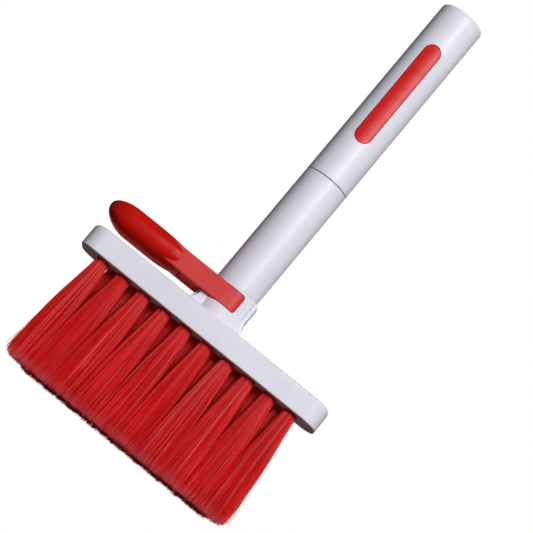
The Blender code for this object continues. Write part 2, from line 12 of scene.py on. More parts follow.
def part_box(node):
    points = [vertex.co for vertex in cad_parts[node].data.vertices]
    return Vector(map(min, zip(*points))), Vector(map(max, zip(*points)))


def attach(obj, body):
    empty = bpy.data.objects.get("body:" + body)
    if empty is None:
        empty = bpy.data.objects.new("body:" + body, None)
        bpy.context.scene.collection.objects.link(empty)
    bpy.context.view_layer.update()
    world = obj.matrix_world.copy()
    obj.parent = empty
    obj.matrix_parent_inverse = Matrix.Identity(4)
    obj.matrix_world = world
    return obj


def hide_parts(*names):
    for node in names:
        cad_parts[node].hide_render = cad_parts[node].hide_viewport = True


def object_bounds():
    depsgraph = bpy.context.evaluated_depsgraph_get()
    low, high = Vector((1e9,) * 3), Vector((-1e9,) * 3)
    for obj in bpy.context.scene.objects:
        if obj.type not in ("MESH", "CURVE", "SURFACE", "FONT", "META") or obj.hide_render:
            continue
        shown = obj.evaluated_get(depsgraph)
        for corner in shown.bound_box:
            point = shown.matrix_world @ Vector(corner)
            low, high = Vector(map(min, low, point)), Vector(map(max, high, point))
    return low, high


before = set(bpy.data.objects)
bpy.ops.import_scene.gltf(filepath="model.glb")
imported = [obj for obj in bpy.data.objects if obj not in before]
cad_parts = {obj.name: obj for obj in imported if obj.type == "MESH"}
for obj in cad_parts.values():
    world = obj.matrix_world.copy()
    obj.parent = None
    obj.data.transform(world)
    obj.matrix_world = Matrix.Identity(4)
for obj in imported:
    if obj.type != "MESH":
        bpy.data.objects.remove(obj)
CAD_LOW, CAD_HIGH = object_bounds()

# General
HAIRLINE = 0.00005  # gap shown between two pieces that fit closely
OVERRUN = 0.001  # how far a cutter, or a shape joined to another, runs past a face
SMALL_EDGE = 0.0003  # rounding on the rims of the inner pieces
ROUND_STEPS = 160
SMALL_ROUND_STEPS = 72
SMOOTH_ANGLE = 32  # degrees, edges sharper than this stay creased
SOFT_SMOOTH_ANGLE = 60

# Bar of the brush head
HEAD_LOW, HEAD_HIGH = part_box("head_shell")
UNDERSIDE = HEAD_LOW.z
NECK_TOP = HEAD_HIGH.z
BAR_HALF_LENGTH = HEAD_HIGH.x
BAR_HALF_DEPTH = HEAD_HIGH.y
BAR_TOP = UNDERSIDE + 0.0072
BAR_CORNER_RADIUS = 0.0052
BAR_CORNER_STEPS = 20
BAR_TOP_FILLET = 0.0013
BAR_FOOT_FILLET = 0.0004
BAR_WALL = 0.0015

# Neck of the brush head
WIDE_STEP_REACH = 0.0009
WIDE_STEP_HALF_DEPTH = 0.0028
NARROW_STEP_INSET = 0.0002
STEP_FLARE = 0.0032
STEP_FLARE_HEIGHT = 0.0050
STEP_DROP = 0.0001
STEP_CORNER_RADIUS = 0.0006
STEP_EDGE = 0.00012
WIDE_PANEL_INSET = 0.00055
NARROW_PANEL_INSET = 0.0011
PANEL_RISE = 0.00025

# Plate that holds the bristles
PLATE_LOW, PLATE_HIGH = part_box("tuft_plate")
HOLE_RADIUS = 0.002125
HOLE_DEPTH = 0.0038
HOLE_EDGE = 0.0002
HOLE_STEPS = 36

# Bristles
STRANDS = 540
STRAND_RADIUS = 0.000082
STRAND_POINTS = 8
STRAND_TOP = UNDERSIDE + 0.0016
FLARE_PLACE = 0.46
FLARE_ALONG = 0.88
FLARE_ACROSS = 0.74
TIP_FULLNESS = 0.28
TIP_OVERLAP = 0.0005  # how far the tips of a tuft reach in among its neighbours'
TIP_UNEVENNESS = 0.0013
CLUMPING = 0.00050
WANDER = 0.00036
STRAY_SHARE = 0.018
STRAY_REACH = 0.0011
OUTER_STRAY_REACH = 0.0017
OUTER_TUFT_LEAN = 0.0007
OUTER_TRIM = 0.0018  # how much shorter the outermost strands are

# Pen
BARREL_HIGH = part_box("pen_barrel")[1]
CAP_LOW, CAP_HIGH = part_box("pen_cap")
PEN_RADIUS = BARREL_HIGH.x
SPIGOT_LENGTH = 0.0060
SHOULDER = BARREL_HIGH.z - SPIGOT_LENGTH
SPIGOT_RADIUS = 0.0060
TOOL_BORE = 0.0044
TOOL_BORE_FOOT = BARREL_HIGH.z - 0.0230
CAP_BORE = 0.0052
CAP_SOCKET = 0.0063
CAP_END_THICKNESS = 0.0030
CAP_END_RADIUS = 0.0010
CAP_END_RINGS = (0.0040, 0.0010)  # radii that divide the flat end
CAP_ROWS = 24
MOUTH_EDGE = 0.00008

# Inlay in the cap
INLAY_LOW, INLAY_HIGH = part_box("cap_inlay")
INLAY_HALF_WIDTH = INLAY_HIGH.x
INLAY_THICKNESS = 0.0008
INLAY_EDGE = 0.00022
INLAY_CORE_RADIUS = 0.00002  # of the narrow oval that closes each face
INLAY_ROWS = 9

# Nib and its holder
HOLDER_LOW, HOLDER_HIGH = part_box("nib_holder")
NIB_LOW, NIB_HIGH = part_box("metal_nib")
HOLDER_RADIUS = HOLDER_HIGH.x
HOLDER_SPIGOT_RADIUS = 0.0025
HOLDER_SHOULDER = HOLDER_LOW.z + 0.0046
NIB_RADIUS = NIB_HIGH.x
NIB_EDGE = 0.0001
NIB_TIP_RADIUS = 0.0002
NIB_TAPER_TOP = HOLDER_LOW.z - 0.0020
NIB_TAPER_ROWS = 9

# Double-ended tool
CARRIER_LOW, CARRIER_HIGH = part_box("tool_carrier")
COLLAR_FOOT = CARRIER_LOW.z + 0.0084
COLLAR_TOP = COLLAR_FOOT + 0.0020
COLLAR_RADIUS = CARRIER_HIGH.x
PLUG_RADIUS = 0.0041
STALK_RADIUS = 0.0030
STEM_RADIUS = 0.0012
STEM_HOLE_DEPTH = 0.0040

# Fine brush
FINE_LOW, FINE_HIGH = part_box("fine_brush")
FERRULE_TOP = CARRIER_LOW.z - HAIRLINE
FERRULE_RADIUS = 0.0022
FERRULE_LENGTH = 0.0010
FERRULE_EDGE = 0.0001
FERRULE_LIP = 0.0006
FINE_STRANDS = 420
FINE_STRAND_RADIUS = 0.00005
FINE_ROOT = FERRULE_TOP - 0.0008
FINE_ROOT_RADIUS = 0.0018
FINE_TIP_RADIUS = 0.0021

# Foam tip
SPONGE_LOW, SPONGE_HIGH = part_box("flock_sponge")
SPONGE_RADIUS = SPONGE_HIGH.x
SPONGE_FOOT = CARRIER_HIGH.z + HAIRLINE
SPONGE_EDGE = 0.0006
SPONGE_ROWS = 22
SPONGE_DENT = 0.00010
SPONGE_DENT_LIMIT = 0.00005
SPONGE_DENT_SCALE = 900
FLOCK_LENGTH = 0.00022
FLOCK_ROOT_RADIUS = 0.000020
FLOCK_TIP_RADIUS = 0.000006
FLOCK_DENSITY = 3.2e7  # fibres to a square metre

# Keycap puller
PULLER_LOW, PULLER_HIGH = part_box("keycap_puller")
PULLER_MIDDLE = 0.0516
FORK_ROOT = PULLER_LOW.x + 0.0273
ARM_REACH = PULLER_HIGH.x
ARM_HALF_HEIGHT = 0.0030
ARM_THICKNESS = 0.0020
ARM_CORNER_RADIUS = 0.0009
ARM_CORNER_STEPS = 12
ARM_EDGE = 0.00022
ARM_INNER = PEN_RADIUS - ARM_THICKNESS
ARM_ROWS = 16
ARM_LAP = 0.0010  # how far in from the start of the pad's tail an arm begins
ARM_TAPER = 0.0009
ARM_TAPER_LENGTH = 0.006
LIP_LENGTH = 0.0015
LIP_DEPTH = 0.0006
LIP_RAMP = 0.0008

# Thumb pad of the puller
PAD_HALF_WIDTH = PULLER_HIGH.y
PAD_HALF_HEIGHT = 0.00415
PAD_DROP = 0.0001
PAD_NOSE_RISE = 0.0008
PAD_NOSE_LENGTH = 0.0085
PAD_NOSE_START = 3
PAD_TAIL_LENGTH = 0.0125
PAD_TAIL_START = FORK_ROOT - PAD_TAIL_LENGTH
PAD_TAIL_POWER = 3
PAD_SWELL = 0.035
PAD_TAIL_WIDTH_SHARE = 0.80
PAD_TAIL_HEIGHT_SHARE = 0.71
PAD_TAIL_EDGE = 0.0005
PAD_SECTION_POWER = 3.2
PAD_ROWS = 24
PAD_ROUND_STEPS = 96

# Camera of the photograph, whose frame is 533 by 533
FRAME_WIDTH = 533
CAMERA_AZIMUTH = math.radians(5.49)
CAMERA_ELEVATION = math.radians(-10.89)
CAMERA_ROLL = math.radians(39.87)
CAMERA_DISTANCE = 0.6932
CAMERA_FOCAL = 2450.6
CAMERA_SHIFT = (4.3, -6.5)
CAMERA_AIM_HEIGHT = UNDERSIDE + 0.0292
SENSOR_WIDTH = 36

# Floor
FLOOR_HALF_SIZE = 0.9
FLOOR_FADE = (0.35, 0.85)  # distances at which the floor starts and ends fading out
FLOOR_BOUNCE = (0.03, 0.03, 0.03)

# Light: each lamp's name, way from the brush, distance, size and power
WORLD_LIGHT = 0.018
LAMPS = (
    ("key_lamp", (0.37, -0.87, 0.30), 1.0, 0.38, 9.45),
    ("glint_lamp", (-0.04, -0.97, 0.22), 1.0, 0.12, 1.6),
    ("top_lamp", (0.10, 0.10, 1.0), 1.0, 0.6, 0.7),
    ("low_lamp", (0.30, -0.90, -0.42), 0.8, 0.5, 0.2),
    ("back_lamp", (-0.09, 0.93, 0.06), 1.0, 0.5, 8.0),
)

# Colours in linear light, two that mingle on each surface
SHELL_WHITES = ((0.70, 0.685, 0.755), (0.63, 0.61, 0.70))
# underside whites: the shell's white made darker and greyer, painted shade under the bar
UNDERSIDE_PAINTED_SHADE_WHITES = ((0.62, 0.60, 0.64), (0.63, 0.61, 0.70))
PULLER_REDS = ((0.50, 0.006, 0.002), (0.40, 0.004, 0.001))
# the arms' red, paler and pinker than the pad's in the same moulding: painted sheen on the flat arms
ARM_PAINTED_SHEEN_REDS = ((0.545, 0.021, 0.020), (0.49, 0.016, 0.016))
INLAY_REDS = ((0.585, 0.014, 0.014), (0.51, 0.009, 0.009))
STEM_BLACKS = ((0.03, 0.03, 0.03), (0.02, 0.02, 0.022))
STEEL_GREYS = ((0.50, 0.50, 0.52), (0.66, 0.66, 0.67))
FOAM_GREYS = ((0.10, 0.10, 0.105), (0.20, 0.20, 0.21))
FLOCK_GREYS = ((0.15, 0.15, 0.155), (0.30, 0.30, 0.31))
PAPER_WHITES = ((0.86, 0.86, 0.86), (0.90, 0.90, 0.90))

# Colours of the strands: dark, middle and pale ones, the pale ones partly painted glints and used as painted
# sheen near the roots, and their tips, paler as painted light
RED_STRANDS = ((0.68, 0.003, 0.004), (0.94, 0.003, 0.004), (0.94, 0.085, 0.092), (0.90, 0.120, 0.150))
BLACK_STRANDS = ((0.012, 0.012, 0.013), (0.03, 0.03, 0.032), (0.07, 0.07, 0.075), (0.03, 0.03, 0.03))

# Skins of the mouldings: roughness, its change, gloss and relief
SHELL_SKIN = (0.46, 0.08, 0.07, 0.25)
PEN_SKIN = (0.36, 0.08, 0.09, 0.20)
HOLLOW_SKIN = (0.55, 0.10, 0.01, 0.35)
PAD_SKIN = (0.25, 0.05, 0.027, 0.10)
ARM_SKIN = (0.44, 0.08, 0.11, 0.35)
INLAY_SKIN = (0.34, 0.08, 0.07, 0.30)
STEM_SKIN = (0.45, 0.10, 0.20, 0.3)
SKIN_IOR = 2.5  # a high one with little gloss keeps the glints and dims the reflections at the edges
TINT_SHARE = 0.6
RELIEF_DEPTH = 0.00002
GRAIN = 2600.0
FINE_GRAIN = 3200.0
SOFT_GRAIN = 1800.0


def arc(centre, radius, start, end, steps, rise=None):
    """Points along part of a circle, or of an ellipse of the given rise, angles in degrees."""
    rise = radius if rise is None else rise
    angles = [math.radians(start + (end - start) * index / steps) for index in range(steps + 1)]
    return [(centre[0] + radius * math.cos(angle), centre[1] + rise * math.sin(angle)) for angle in angles]


def corner(x, y, radius, start, end, steps=4):
    """Arc that rounds off the corner at a point, from one angle in degrees to another."""
    middle = math.radians((start + end) / 2)
    centre = (x - math.copysign(radius, math.cos(middle)), y - math.copysign(radius, math.sin(middle)))
    return arc(centre, radius, start, end, steps)


def rounded_rectangle(half_length, half_depth, radius, steps):
    """Outline of a rectangle with round corners about the origin, counter-clockwise."""
    outline = []
    for index, (x, y) in enumerate(((1, 1), (-1, 1), (-1, -1), (1, -1))):
        outline += corner(x * half_length, y * half_depth, radius, 90 * index, 90 * index + 90, steps)
    return outline


def grown(outline, distance):
    """An outline moved outwards along its normals, or inwards by a negative distance."""
    area = sum(a[0] * b[1] - b[0] * a[1] for a, b in zip(outline, outline[1:] + outline[:1]))
    turn = 1 if area > 0 else -1
    moved = []
    for index, point in enumerate(outline):
        here = Vector(point)
        before = (here - Vector(outline[index - 1])).normalized()
        after = (Vector(outline[(index + 1) % len(outline)]) - here).normalized()
        along = (before + after).normalized()
        stretch = 1 / max(along.dot(after), 0.5)
        outward = Vector((along.y, -along.x)) * turn
        moved.append(tuple(here + outward * distance * stretch))
    return moved


def closed_mesh(name, loops, joined_ends=False):
    """Skin over equal loops, with flat ends or with the last loop joined to the first."""
    bm = bmesh.new()
    rows = [[bm.verts.new(point) for point in loop] for loop in loops]
    pairs = list(zip(rows, rows[1:]))
    if joined_ends:
        pairs.append((rows[-1], rows[0]))
    else:
        bm.faces.new(rows[0])
        bm.faces.new(rows[-1])
    for lower, upper in pairs:
        for index in range(len(lower)):
            following = (index + 1) % len(lower)
            bm.faces.new((lower[index], lower[following], upper[following], upper[index]))
    bmesh.ops.recalc_face_normals(bm, faces=bm.faces)
    mesh = bpy.data.meshes.new(name)
    bm.to_mesh(mesh)
    bm.free()
    return mesh


def linked(name, data, material=None):
    """An object for a mesh, lamp or camera, in the scene."""
    made = bpy.data.objects.new(name, data)
    bpy.context.scene.collection.objects.link(made)
    if material:
        data.materials.append(material)
    return made


def turned(name, profile, steps=ROUND_STEPS, joined_ends=False, centre=(0, 0)):
    """A solid turned about an upright axis from (radius, height) points."""
    x, y = centre[:2]
    turns = [2 * math.pi * index / steps for index in range(steps)]
    loops = [
        [(x + radius * math.cos(turn), y + radius * math.sin(turn), height) for turn in turns]
        for radius, height in profile
    ]
    return closed_mesh(name, loops, joined_ends)


def front_prism(name, outline, near, far, edge=0.0, steps=4):
    """An outline in X and Z, carried along Y from near to far, with rounded edges at both ends."""
    levels = []
    for index in range(steps + 1 if edge else 1):
        angle = math.radians(90 * index / steps)
        levels.append((edge * (1 - math.cos(angle)), edge * (1 - math.sin(angle))))
    loops = [[(x, near + depth, z) for x, z in grown(outline, -inset)] for depth, inset in levels]
    loops += [[(x, far - depth, z) for x, z in grown(outline, -inset)] for depth, inset in reversed(levels)]
    return closed_mesh(name, loops)


def baked(made):
    """Turn an object's modifiers into its mesh."""
    depsgraph = bpy.context.evaluated_depsgraph_get()
    mesh = bpy.data.meshes.new_from_object(made.evaluated_get(depsgraph))
    made.modifiers.clear()
    made.data = mesh
    return made


def combined(body, mesh, operation, material):
    """Join a mesh to an object, or cut it out of it, in a material."""
    other = linked(mesh.name, mesh, material)
    step = body.modifiers.new(operation.lower(), "BOOLEAN")
    step.operation = operation
    step.solver = "EXACT"
    step.material_mode = "TRANSFER"
    step.object = other
    baked(body)
    bpy.data.objects.remove(other, do_unlink=True)


def smoothed(made, angle=SMOOTH_ANGLE):
    """Shade smooth between its creases, the large faces ruling the small ones."""
    made.data.shade_smooth()
    made.data.set_sharp_from_angle(angle=math.radians(angle))
    step = made.modifiers.new("normals", "WEIGHTED_NORMAL")
    step.keep_sharp = True
    step.weight = 80
    return baked(made)


def placed(made, body, slot, *nodes):
    """Give a finished piece its body and hide the nodes it stands for; the slot is not used."""
    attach(made, body)
    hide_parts(*nodes)


def turned_piece(name, profile, finish, body, slot, node, steps=SMALL_ROUND_STEPS, joined_ends=False):
    """A turned solid as a finished piece."""
    made = linked(name, turned(name, profile, steps, joined_ends), finish)
    placed(smoothed(made), body, slot, node)


class Tree:
    """A node tree made a node at a time, each input given a value or linked."""

    def __init__(self, tree):
        self.tree = tree

    def add(self, kind, inputs=None, **settings):
        node = self.tree.nodes.new(kind)
        for name, value in settings.items():
            setattr(node, name, value)
        self.fill(node, inputs or {})
        return node

    def fill(self, node, inputs):
        for key, value in inputs.items():
            self.feed(node.inputs[key], value)

    def feed(self, socket, value):
        if isinstance(value, bpy.types.NodeSocket):
            self.tree.links.new(value, socket)
        else:
            socket.default_value = (*value, 1.0) if socket.type == "RGBA" else value

    def maths(self, operation, *values):
        return self.add("ShaderNodeMath", dict(enumerate(values)), operation=operation).outputs[0]

    def plus(self, first, second):
        return self.maths("ADD", first, second)

    def minus(self, first, second):
        return self.maths("SUBTRACT", first, second)

    def times(self, first, second):
        return self.maths("MULTIPLY", first, second)

    def between(self, first, second, share):
        return self.plus(first, self.times(self.minus(second, first), share))

    def vector(self, operation, first, second):
        node = self.add("ShaderNodeVectorMath", {0: first}, operation=operation)
        self.feed(node.inputs["Scale"] if operation == "SCALE" else node.inputs[1], second)
        return node.outputs[0]

    def joined(self, x, y, z):
        return self.add("ShaderNodeCombineXYZ", {0: x, 1: y, 2: z}).outputs[0]

    def split(self, vector):
        return self.add("ShaderNodeSeparateXYZ", {0: vector}).outputs

    def mixed(self, share, first, second):
        return self.add("ShaderNodeMix", {0: share, 6: first, 7: second}, data_type="RGBA").outputs[2]

    def ranged(self, value, low, high, to_low=0.0, to_high=1.0):
        inputs = {0: value, 1: low, 2: high, 3: to_low, 4: to_high}
        return self.add("ShaderNodeMapRange", inputs).outputs[0]

    def noise(self, place, size, detail=2.0, output="Fac"):
        inputs = {"Vector": place, "Scale": size, "Detail": detail}
        return self.add("ShaderNodeTexNoise", inputs).outputs[output]

    def relief(self, height, strength, depth):
        inputs = {"Strength": strength, "Distance": depth, "Height": height}
        return self.add("ShaderNodeBump", inputs).outputs["Normal"]

    def own_place(self):
        return self.add("ShaderNodeTexCoord").outputs["Object"]

    def seen(self):
        """One for rays that show a thing, straight, mirrored or through glass, else nothing."""
        rays = self.add("ShaderNodeLightPath").outputs
        shown = self.maths("MAXIMUM", rays["Is Camera Ray"], rays["Is Glossy Ray"])
        return self.maths("MAXIMUM", shown, rays["Is Transmission Ray"])

    def sockets(self, kind, *names, way="INPUT"):
        for name in names:
            self.tree.interface.new_socket(name, in_out=way, socket_type="NodeSocket" + kind)

    def completed(self, geometry, material):
        """Make its instances real, in a material, as what the tree gives."""
        solid = self.add("GeometryNodeRealizeInstances", {0: geometry}).outputs[0]
        finish = self.add("GeometryNodeSetMaterial", {"Geometry": solid, "Material": material})
        self.add("NodeGroupOutput", {"Mesh": finish.outputs[0]})
        return self.tree


def moulded_skin():
    """Node group for moulded plastic: slow colour change, fine grain and uneven gloss."""
    made = Tree(bpy.data.node_groups.new("moulded_skin", "ShaderNodeTree"))
    made.sockets("Color", "Colour", "Tint")
    made.sockets("Float", "Tint Share", "Grain Size", "Roughness", "Roughness Change", "Gloss")
    made.sockets("Color", "Colour", way="OUTPUT")
    made.sockets("Float", "Roughness", "Gloss", "Height", way="OUTPUT")
    given = made.add("NodeGroupInput").outputs
    place = made.own_place()
    clouds = made.times(made.noise(place, 90.0, 3.0), 0.7)
    specks = made.times(made.noise(place, 1400.0, 1.0), 0.3)
    share = made.ranged(made.plus(clouds, specks), 0.35, 0.65)
    tinted = made.mixed(made.times(share, given["Tint Share"]), given["Colour"], given["Tint"])
    rubbed = made.noise(place, 420.0, 4.0)
    change = made.times(made.minus(rubbed, 0.5), given["Roughness Change"])
    rough = made.plus(given["Roughness"], made.times(change, 2.0))
    gloss = made.times(given["Gloss"], made.ranged(rubbed, 0.3, 0.7, 1.15, 0.85))
    grain = made.noise(place, given["Grain Size"])
    made.add("NodeGroupOutput", {"Colour": tinted, "Roughness": rough, "Gloss": gloss, "Height": grain})
    return made.tree


SKIN = moulded_skin()


def surface(name):
    """A fresh material with its tree and its shader."""
    made = bpy.data.materials.new(name)
    made.use_nodes = True
    return made, Tree(made.node_tree), made.node_tree.nodes["Principled BSDF"]


def plastic(name, shades, skin, grain=GRAIN):
    """Moulded plastic with its own colour, skin gloss and grain."""
    base, tint = shades
    roughness, change, gloss, relief = skin
    made, tree, shader = surface(name)
    inputs = {
        "Colour": base,
        "Tint": tint,
        "Tint Share": TINT_SHARE,
        "Grain Size": grain,
        "Roughness": roughness,
        "Roughness Change": change,
        "Gloss": gloss,
    }
    moulded = tree.add("ShaderNodeGroup", inputs, node_tree=SKIN).outputs
    values = {
        "Base Color": moulded["Colour"],
        "Roughness": moulded["Roughness"],
        "Coat Weight": moulded["Gloss"],
        "Normal": tree.relief(moulded["Height"], relief, RELIEF_DEPTH),
        "Specular IOR Level": 0.0,
        "Coat Roughness": roughness,
        "Coat IOR": SKIN_IOR,
    }
    tree.fill(shader, values)
    made.diffuse_color = (*base, 1.0)
    return made


def brushed_steel(name, stretch):
    """Steel with fine turning marks, drawn out along the given axes."""
    made, tree, shader = surface(name)
    drawn = tree.add("ShaderNodeMapping", {"Vector": tree.own_place(), "Scale": stretch}).outputs[0]
    marks = tree.noise(drawn, 900.0, 4.0)
    values = {
        "Base Color": tree.mixed(tree.ranged(marks, 0.3, 0.7), *STEEL_GREYS),
        "Roughness": tree.ranged(marks, 0.2, 0.8, 0.22, 0.36),
        "Normal": tree.relief(marks, 0.3, RELIEF_DEPTH / 2),
        "Metallic": 1.0,
    }
    tree.fill(shader, values)
    return made


def bristle_finish(name, shades, roughness, glow):
    """Nylon strands: each its own tone, some pale as painted glints, paler near the roots as painted sheen
    and darker there as painted shade, paler and duller towards the tips as painted light, with light let
    through.
    """
    dark, middle, pale, tip = shades
    made, tree, shader = surface(name)
    strand = tree.add("ShaderNodeAttribute", attribute_name="strand").outputs["Fac"]
    along = tree.add("ShaderNodeAttribute", attribute_name="along").outputs["Fac"]
    shade = tree.mixed(tree.ranged(strand, 0.22, 0.50), dark, middle)
    # pale strands: partly tone that differs at random, partly painted glints
    shade = tree.mixed(tree.ranged(strand, 0.66, 0.92), shade, pale)
    # pale mixed in near the roots: painted sheen
    shade = tree.mixed(tree.ranged(along, 0.1, 0.5, 0.16, 0.0), shade, pale)
    # paler, pinker tips in patches: painted light on the cut ends
    painted_tip_light = tree.ranged(tree.noise(tree.own_place(), 260.0, 3.0), 0.3, 0.7, 0.25, 1.0)
    shade = tree.mixed(tree.times(tree.ranged(along, 0.90, 1.0), painted_tip_light), shade, tip)
    # the base colour is darkened towards the roots: painted shade under the bar
    values = {
        "Base Color": tree.vector("SCALE", shade, tree.ranged(along, 0.1, 0.8, 0.84, 1.00)),
        "Roughness": tree.ranged(strand, 0.0, 1.0, roughness + 0.12, roughness),
        "Specular IOR Level": tree.ranged(strand, 0.55, 0.85, 0.10, 0.50),
        "Subsurface Weight": glow,
        "Subsurface Radius": (1.0, 0.15, 0.15),
        "Subsurface Scale": 0.0006,
    }
    tree.fill(shader, values)
    made.diffuse_color = (*middle, 1.0)
    return made


def sponge_finish(name, shades, scale):
    """Grey foam or flock, mottled and dull."""
    made, tree, shader = surface(name)
    pores = tree.noise(tree.own_place(), scale, 4.0)
    values = {
        "Base Color": tree.mixed(tree.ranged(pores, 0.3, 0.7), *shades),
        "Roughness": tree.ranged(pores, 0.3, 0.7, 0.85, 1.0),
        "Normal": tree.relief(pores, 0.8, RELIEF_DEPTH * 4),
        "Specular IOR Level": 0.2,
    }
    tree.fill(shader, values)
    return made


SHELL_WHITE = plastic("shell_white", SHELL_WHITES, SHELL_SKIN)
PEN_WHITE = plastic("pen_white", SHELL_WHITES, PEN_SKIN)
# darker white for the underside and the plate: painted shade
UNDERSIDE_PAINTED_SHADE_WHITE = plastic("underside_white_painted_shade", UNDERSIDE_PAINTED_SHADE_WHITES, HOLLOW_SKIN)
PAD_FINISH = plastic("puller_gloss", PULLER_REDS, PAD_SKIN, SOFT_GRAIN)
# satin arms whose red carries a painted sheen
ARM_PAINTED_SHEEN_FINISH = plastic("puller_satin_painted_sheen", ARM_PAINTED_SHEEN_REDS, ARM_SKIN, FINE_GRAIN)
INLAY_FINISH = plastic("inlay_satin", INLAY_REDS, INLAY_SKIN, FINE_GRAIN)
BLACK_PLASTIC = plastic("stem_black", STEM_BLACKS, STEM_SKIN)
NIB_STEEL = brushed_steel("nib_steel", (1.0, 1.0, 12.0))
WIRE_STEEL = brushed_steel("wire_steel", (1.0, 14.0, 14.0))
RED_BRISTLE = bristle_finish("red_bristle", RED_STRANDS, 0.36, 0.5)
BLACK_BRISTLE = bristle_finish("black_bristle", BLACK_STRANDS, 0.4, 0.0)
FOAM_GREY = sponge_finish("foam_grey", FOAM_GREYS, 2400.0)
FLOCK_GREY = sponge_finish("flock_grey", FLOCK_GREYS, 1600.0)


def bar_outline(inset):
    """Outline of the bar from above, moved inwards by an inset."""
    half_length = BAR_HALF_LENGTH - inset
    half_depth = BAR_HALF_DEPTH - inset
    return rounded_rectangle(half_length, half_depth, BAR_CORNER_RADIUS - inset, BAR_CORNER_STEPS)


def head_moulding():
    """Bar and neck: a long rounded slab, a round post and two pairs of stepped shoulders."""
    levels = corner(0, UNDERSIDE, BAR_FOOT_FILLET, 270, 180)
    levels += corner(0, BAR_TOP, BAR_TOP_FILLET, 180, 90, 8)
    loops = [[(x, y, height) for x, y in bar_outline(inset)] for inset, height in levels]
    made = linked("head_moulding", closed_mesh("head_moulding", loops), SHELL_WHITE)

    post = turned("post", [(PEN_RADIUS, BAR_TOP - BAR_TOP_FILLET), (PEN_RADIUS, NECK_TOP)])
    combined(made, post, "UNION", SHELL_WHITE)
    wide = PEN_RADIUS + WIDE_STEP_REACH
    narrow = PEN_RADIUS - NARROW_STEP_INSET
    shoulders = (
        (wide, WIDE_STEP_HALF_DEPTH, NECK_TOP - 2 * STEP_DROP),
        (wide - WIDE_PANEL_INSET, WIDE_STEP_HALF_DEPTH + PANEL_RISE, NECK_TOP - 3 * STEP_DROP),
        (narrow, ARM_INNER, NECK_TOP - STEP_DROP),
        (narrow - NARROW_PANEL_INSET, ARM_INNER + PANEL_RISE, NECK_TOP - 2 * STEP_DROP),
    )
    for half, half_depth, top in shoulders:
        shoulder = front_prism("shoulder", shoulder_outline(half, top), -half_depth, half_depth, STEP_EDGE)
        combined(made, shoulder, "UNION", SHELL_WHITE)

    heights = (UNDERSIDE - OVERRUN, PLATE_HIGH.z + HAIRLINE)
    recess = [[(x, y, height) for x, y in bar_outline(BAR_WALL)] for height in heights]
    combined(made, closed_mesh("recess", recess), "DIFFERENCE", SHELL_WHITE)

    bore = HOLDER_SPIGOT_RADIUS + HAIRLINE
    nib_bore = turned("nib_bore", [(bore, NIB_LOW.z), (bore, NECK_TOP + OVERRUN)], SMALL_ROUND_STEPS)
    combined(made, nib_bore, "DIFFERENCE", SHELL_WHITE)

    foot = PULLER_MIDDLE - ARM_HALF_HEIGHT - HAIRLINE
    top = PULLER_MIDDLE + ARM_HALF_HEIGHT + HAIRLINE
    right = ARM_REACH + HAIRLINE
    left = -PEN_RADIUS - STEP_FLARE - 2 * OVERRUN
    outline = corner(right, foot, ARM_CORNER_RADIUS + HAIRLINE, -90, 0, 8)
    outline += corner(right, top, ARM_CORNER_RADIUS + HAIRLINE, 0, 90, 8)
    outline += [(left, top), (left, foot)]
    floor = ARM_INNER - LIP_DEPTH - HAIRLINE
    for near, far in ((-PEN_RADIUS - OVERRUN, -floor), (floor, PEN_RADIUS + OVERRUN)):
        combined(made, front_prism("slot", outline, near, far), "DIFFERENCE", SHELL_WHITE)

    # downward faces at the foot of the bar take the darker white: painted shade on the underside
    made.data.materials.append(UNDERSIDE_PAINTED_SHADE_WHITE)
    for face in made.data.polygons:
        if face.normal.z < 0 and face.center.z < UNDERSIDE + BAR_FOOT_FILLET / 2:
            face.material_index = len(made.data.materials) - 1
    placed(smoothed(made), "head", "white_plastic", "head_shell")


def shoulder_outline(half, top):
    """A shoulder of the neck seen from the front: a flared foot, and lower on the puller's side."""
    reach = half + STEP_FLARE
    flare = [(reach, BAR_TOP - BAR_TOP_FILLET)]
    flare += arc((reach, BAR_TOP + STEP_FLARE_HEIGHT), STEP_FLARE, 270, 180, 14, STEP_FLARE_HEIGHT)
    right = flare + corner(half, top, STEP_CORNER_RADIUS, 0, 90, 6)
    left = [(0.0, top), (0.0, PULLER_MIDDLE)] + corner(-half, PULLER_MIDDLE, STEP_CORNER_RADIUS, 90, 180, 6)
    return right + left + [(-x, z) for x, z in reversed(flare)]


def tuft_centre(name):
    """Middle of a tuft's hole, which is the middle of its wire anchor."""
    low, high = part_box("anchor_" + name)
    return (low + high) / 2


TUFTS = sorted(name[len("anchor_"):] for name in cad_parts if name.startswith("anchor_"))


def drilled_plate():
    """Plate in the underside of the bar, with a countersunk hole for each tuft."""
    outline = bar_outline(BAR_WALL + HAIRLINE)
    levels = ((PLATE_LOW.z, HOLE_EDGE / 2), (PLATE_LOW.z + HOLE_EDGE / 2, 0), (PLATE_HIGH.z, 0))
    loops = [[(x, y, height) for x, y in grown(outline, -inset)] for height, inset in levels]
    # the plate and its holes take the darker underside white: painted shade
    made = linked("drilled_plate", closed_mesh("drilled_plate", loops), UNDERSIDE_PAINTED_SHADE_WHITE)
    profile = [
        (HOLE_RADIUS + HOLE_EDGE + OVERRUN, PLATE_LOW.z - OVERRUN),
        (HOLE_RADIUS, PLATE_LOW.z + HOLE_EDGE),
        (HOLE_RADIUS, PLATE_LOW.z + HOLE_DEPTH),
    ]
    for name in TUFTS:
        hole = turned("hole", profile, HOLE_STEPS, centre=tuft_centre(name))
        combined(made, hole, "DIFFERENCE", UNDERSIDE_PAINTED_SHADE_WHITE)
    placed(smoothed(made), "head", "white_plastic", "tuft_plate")


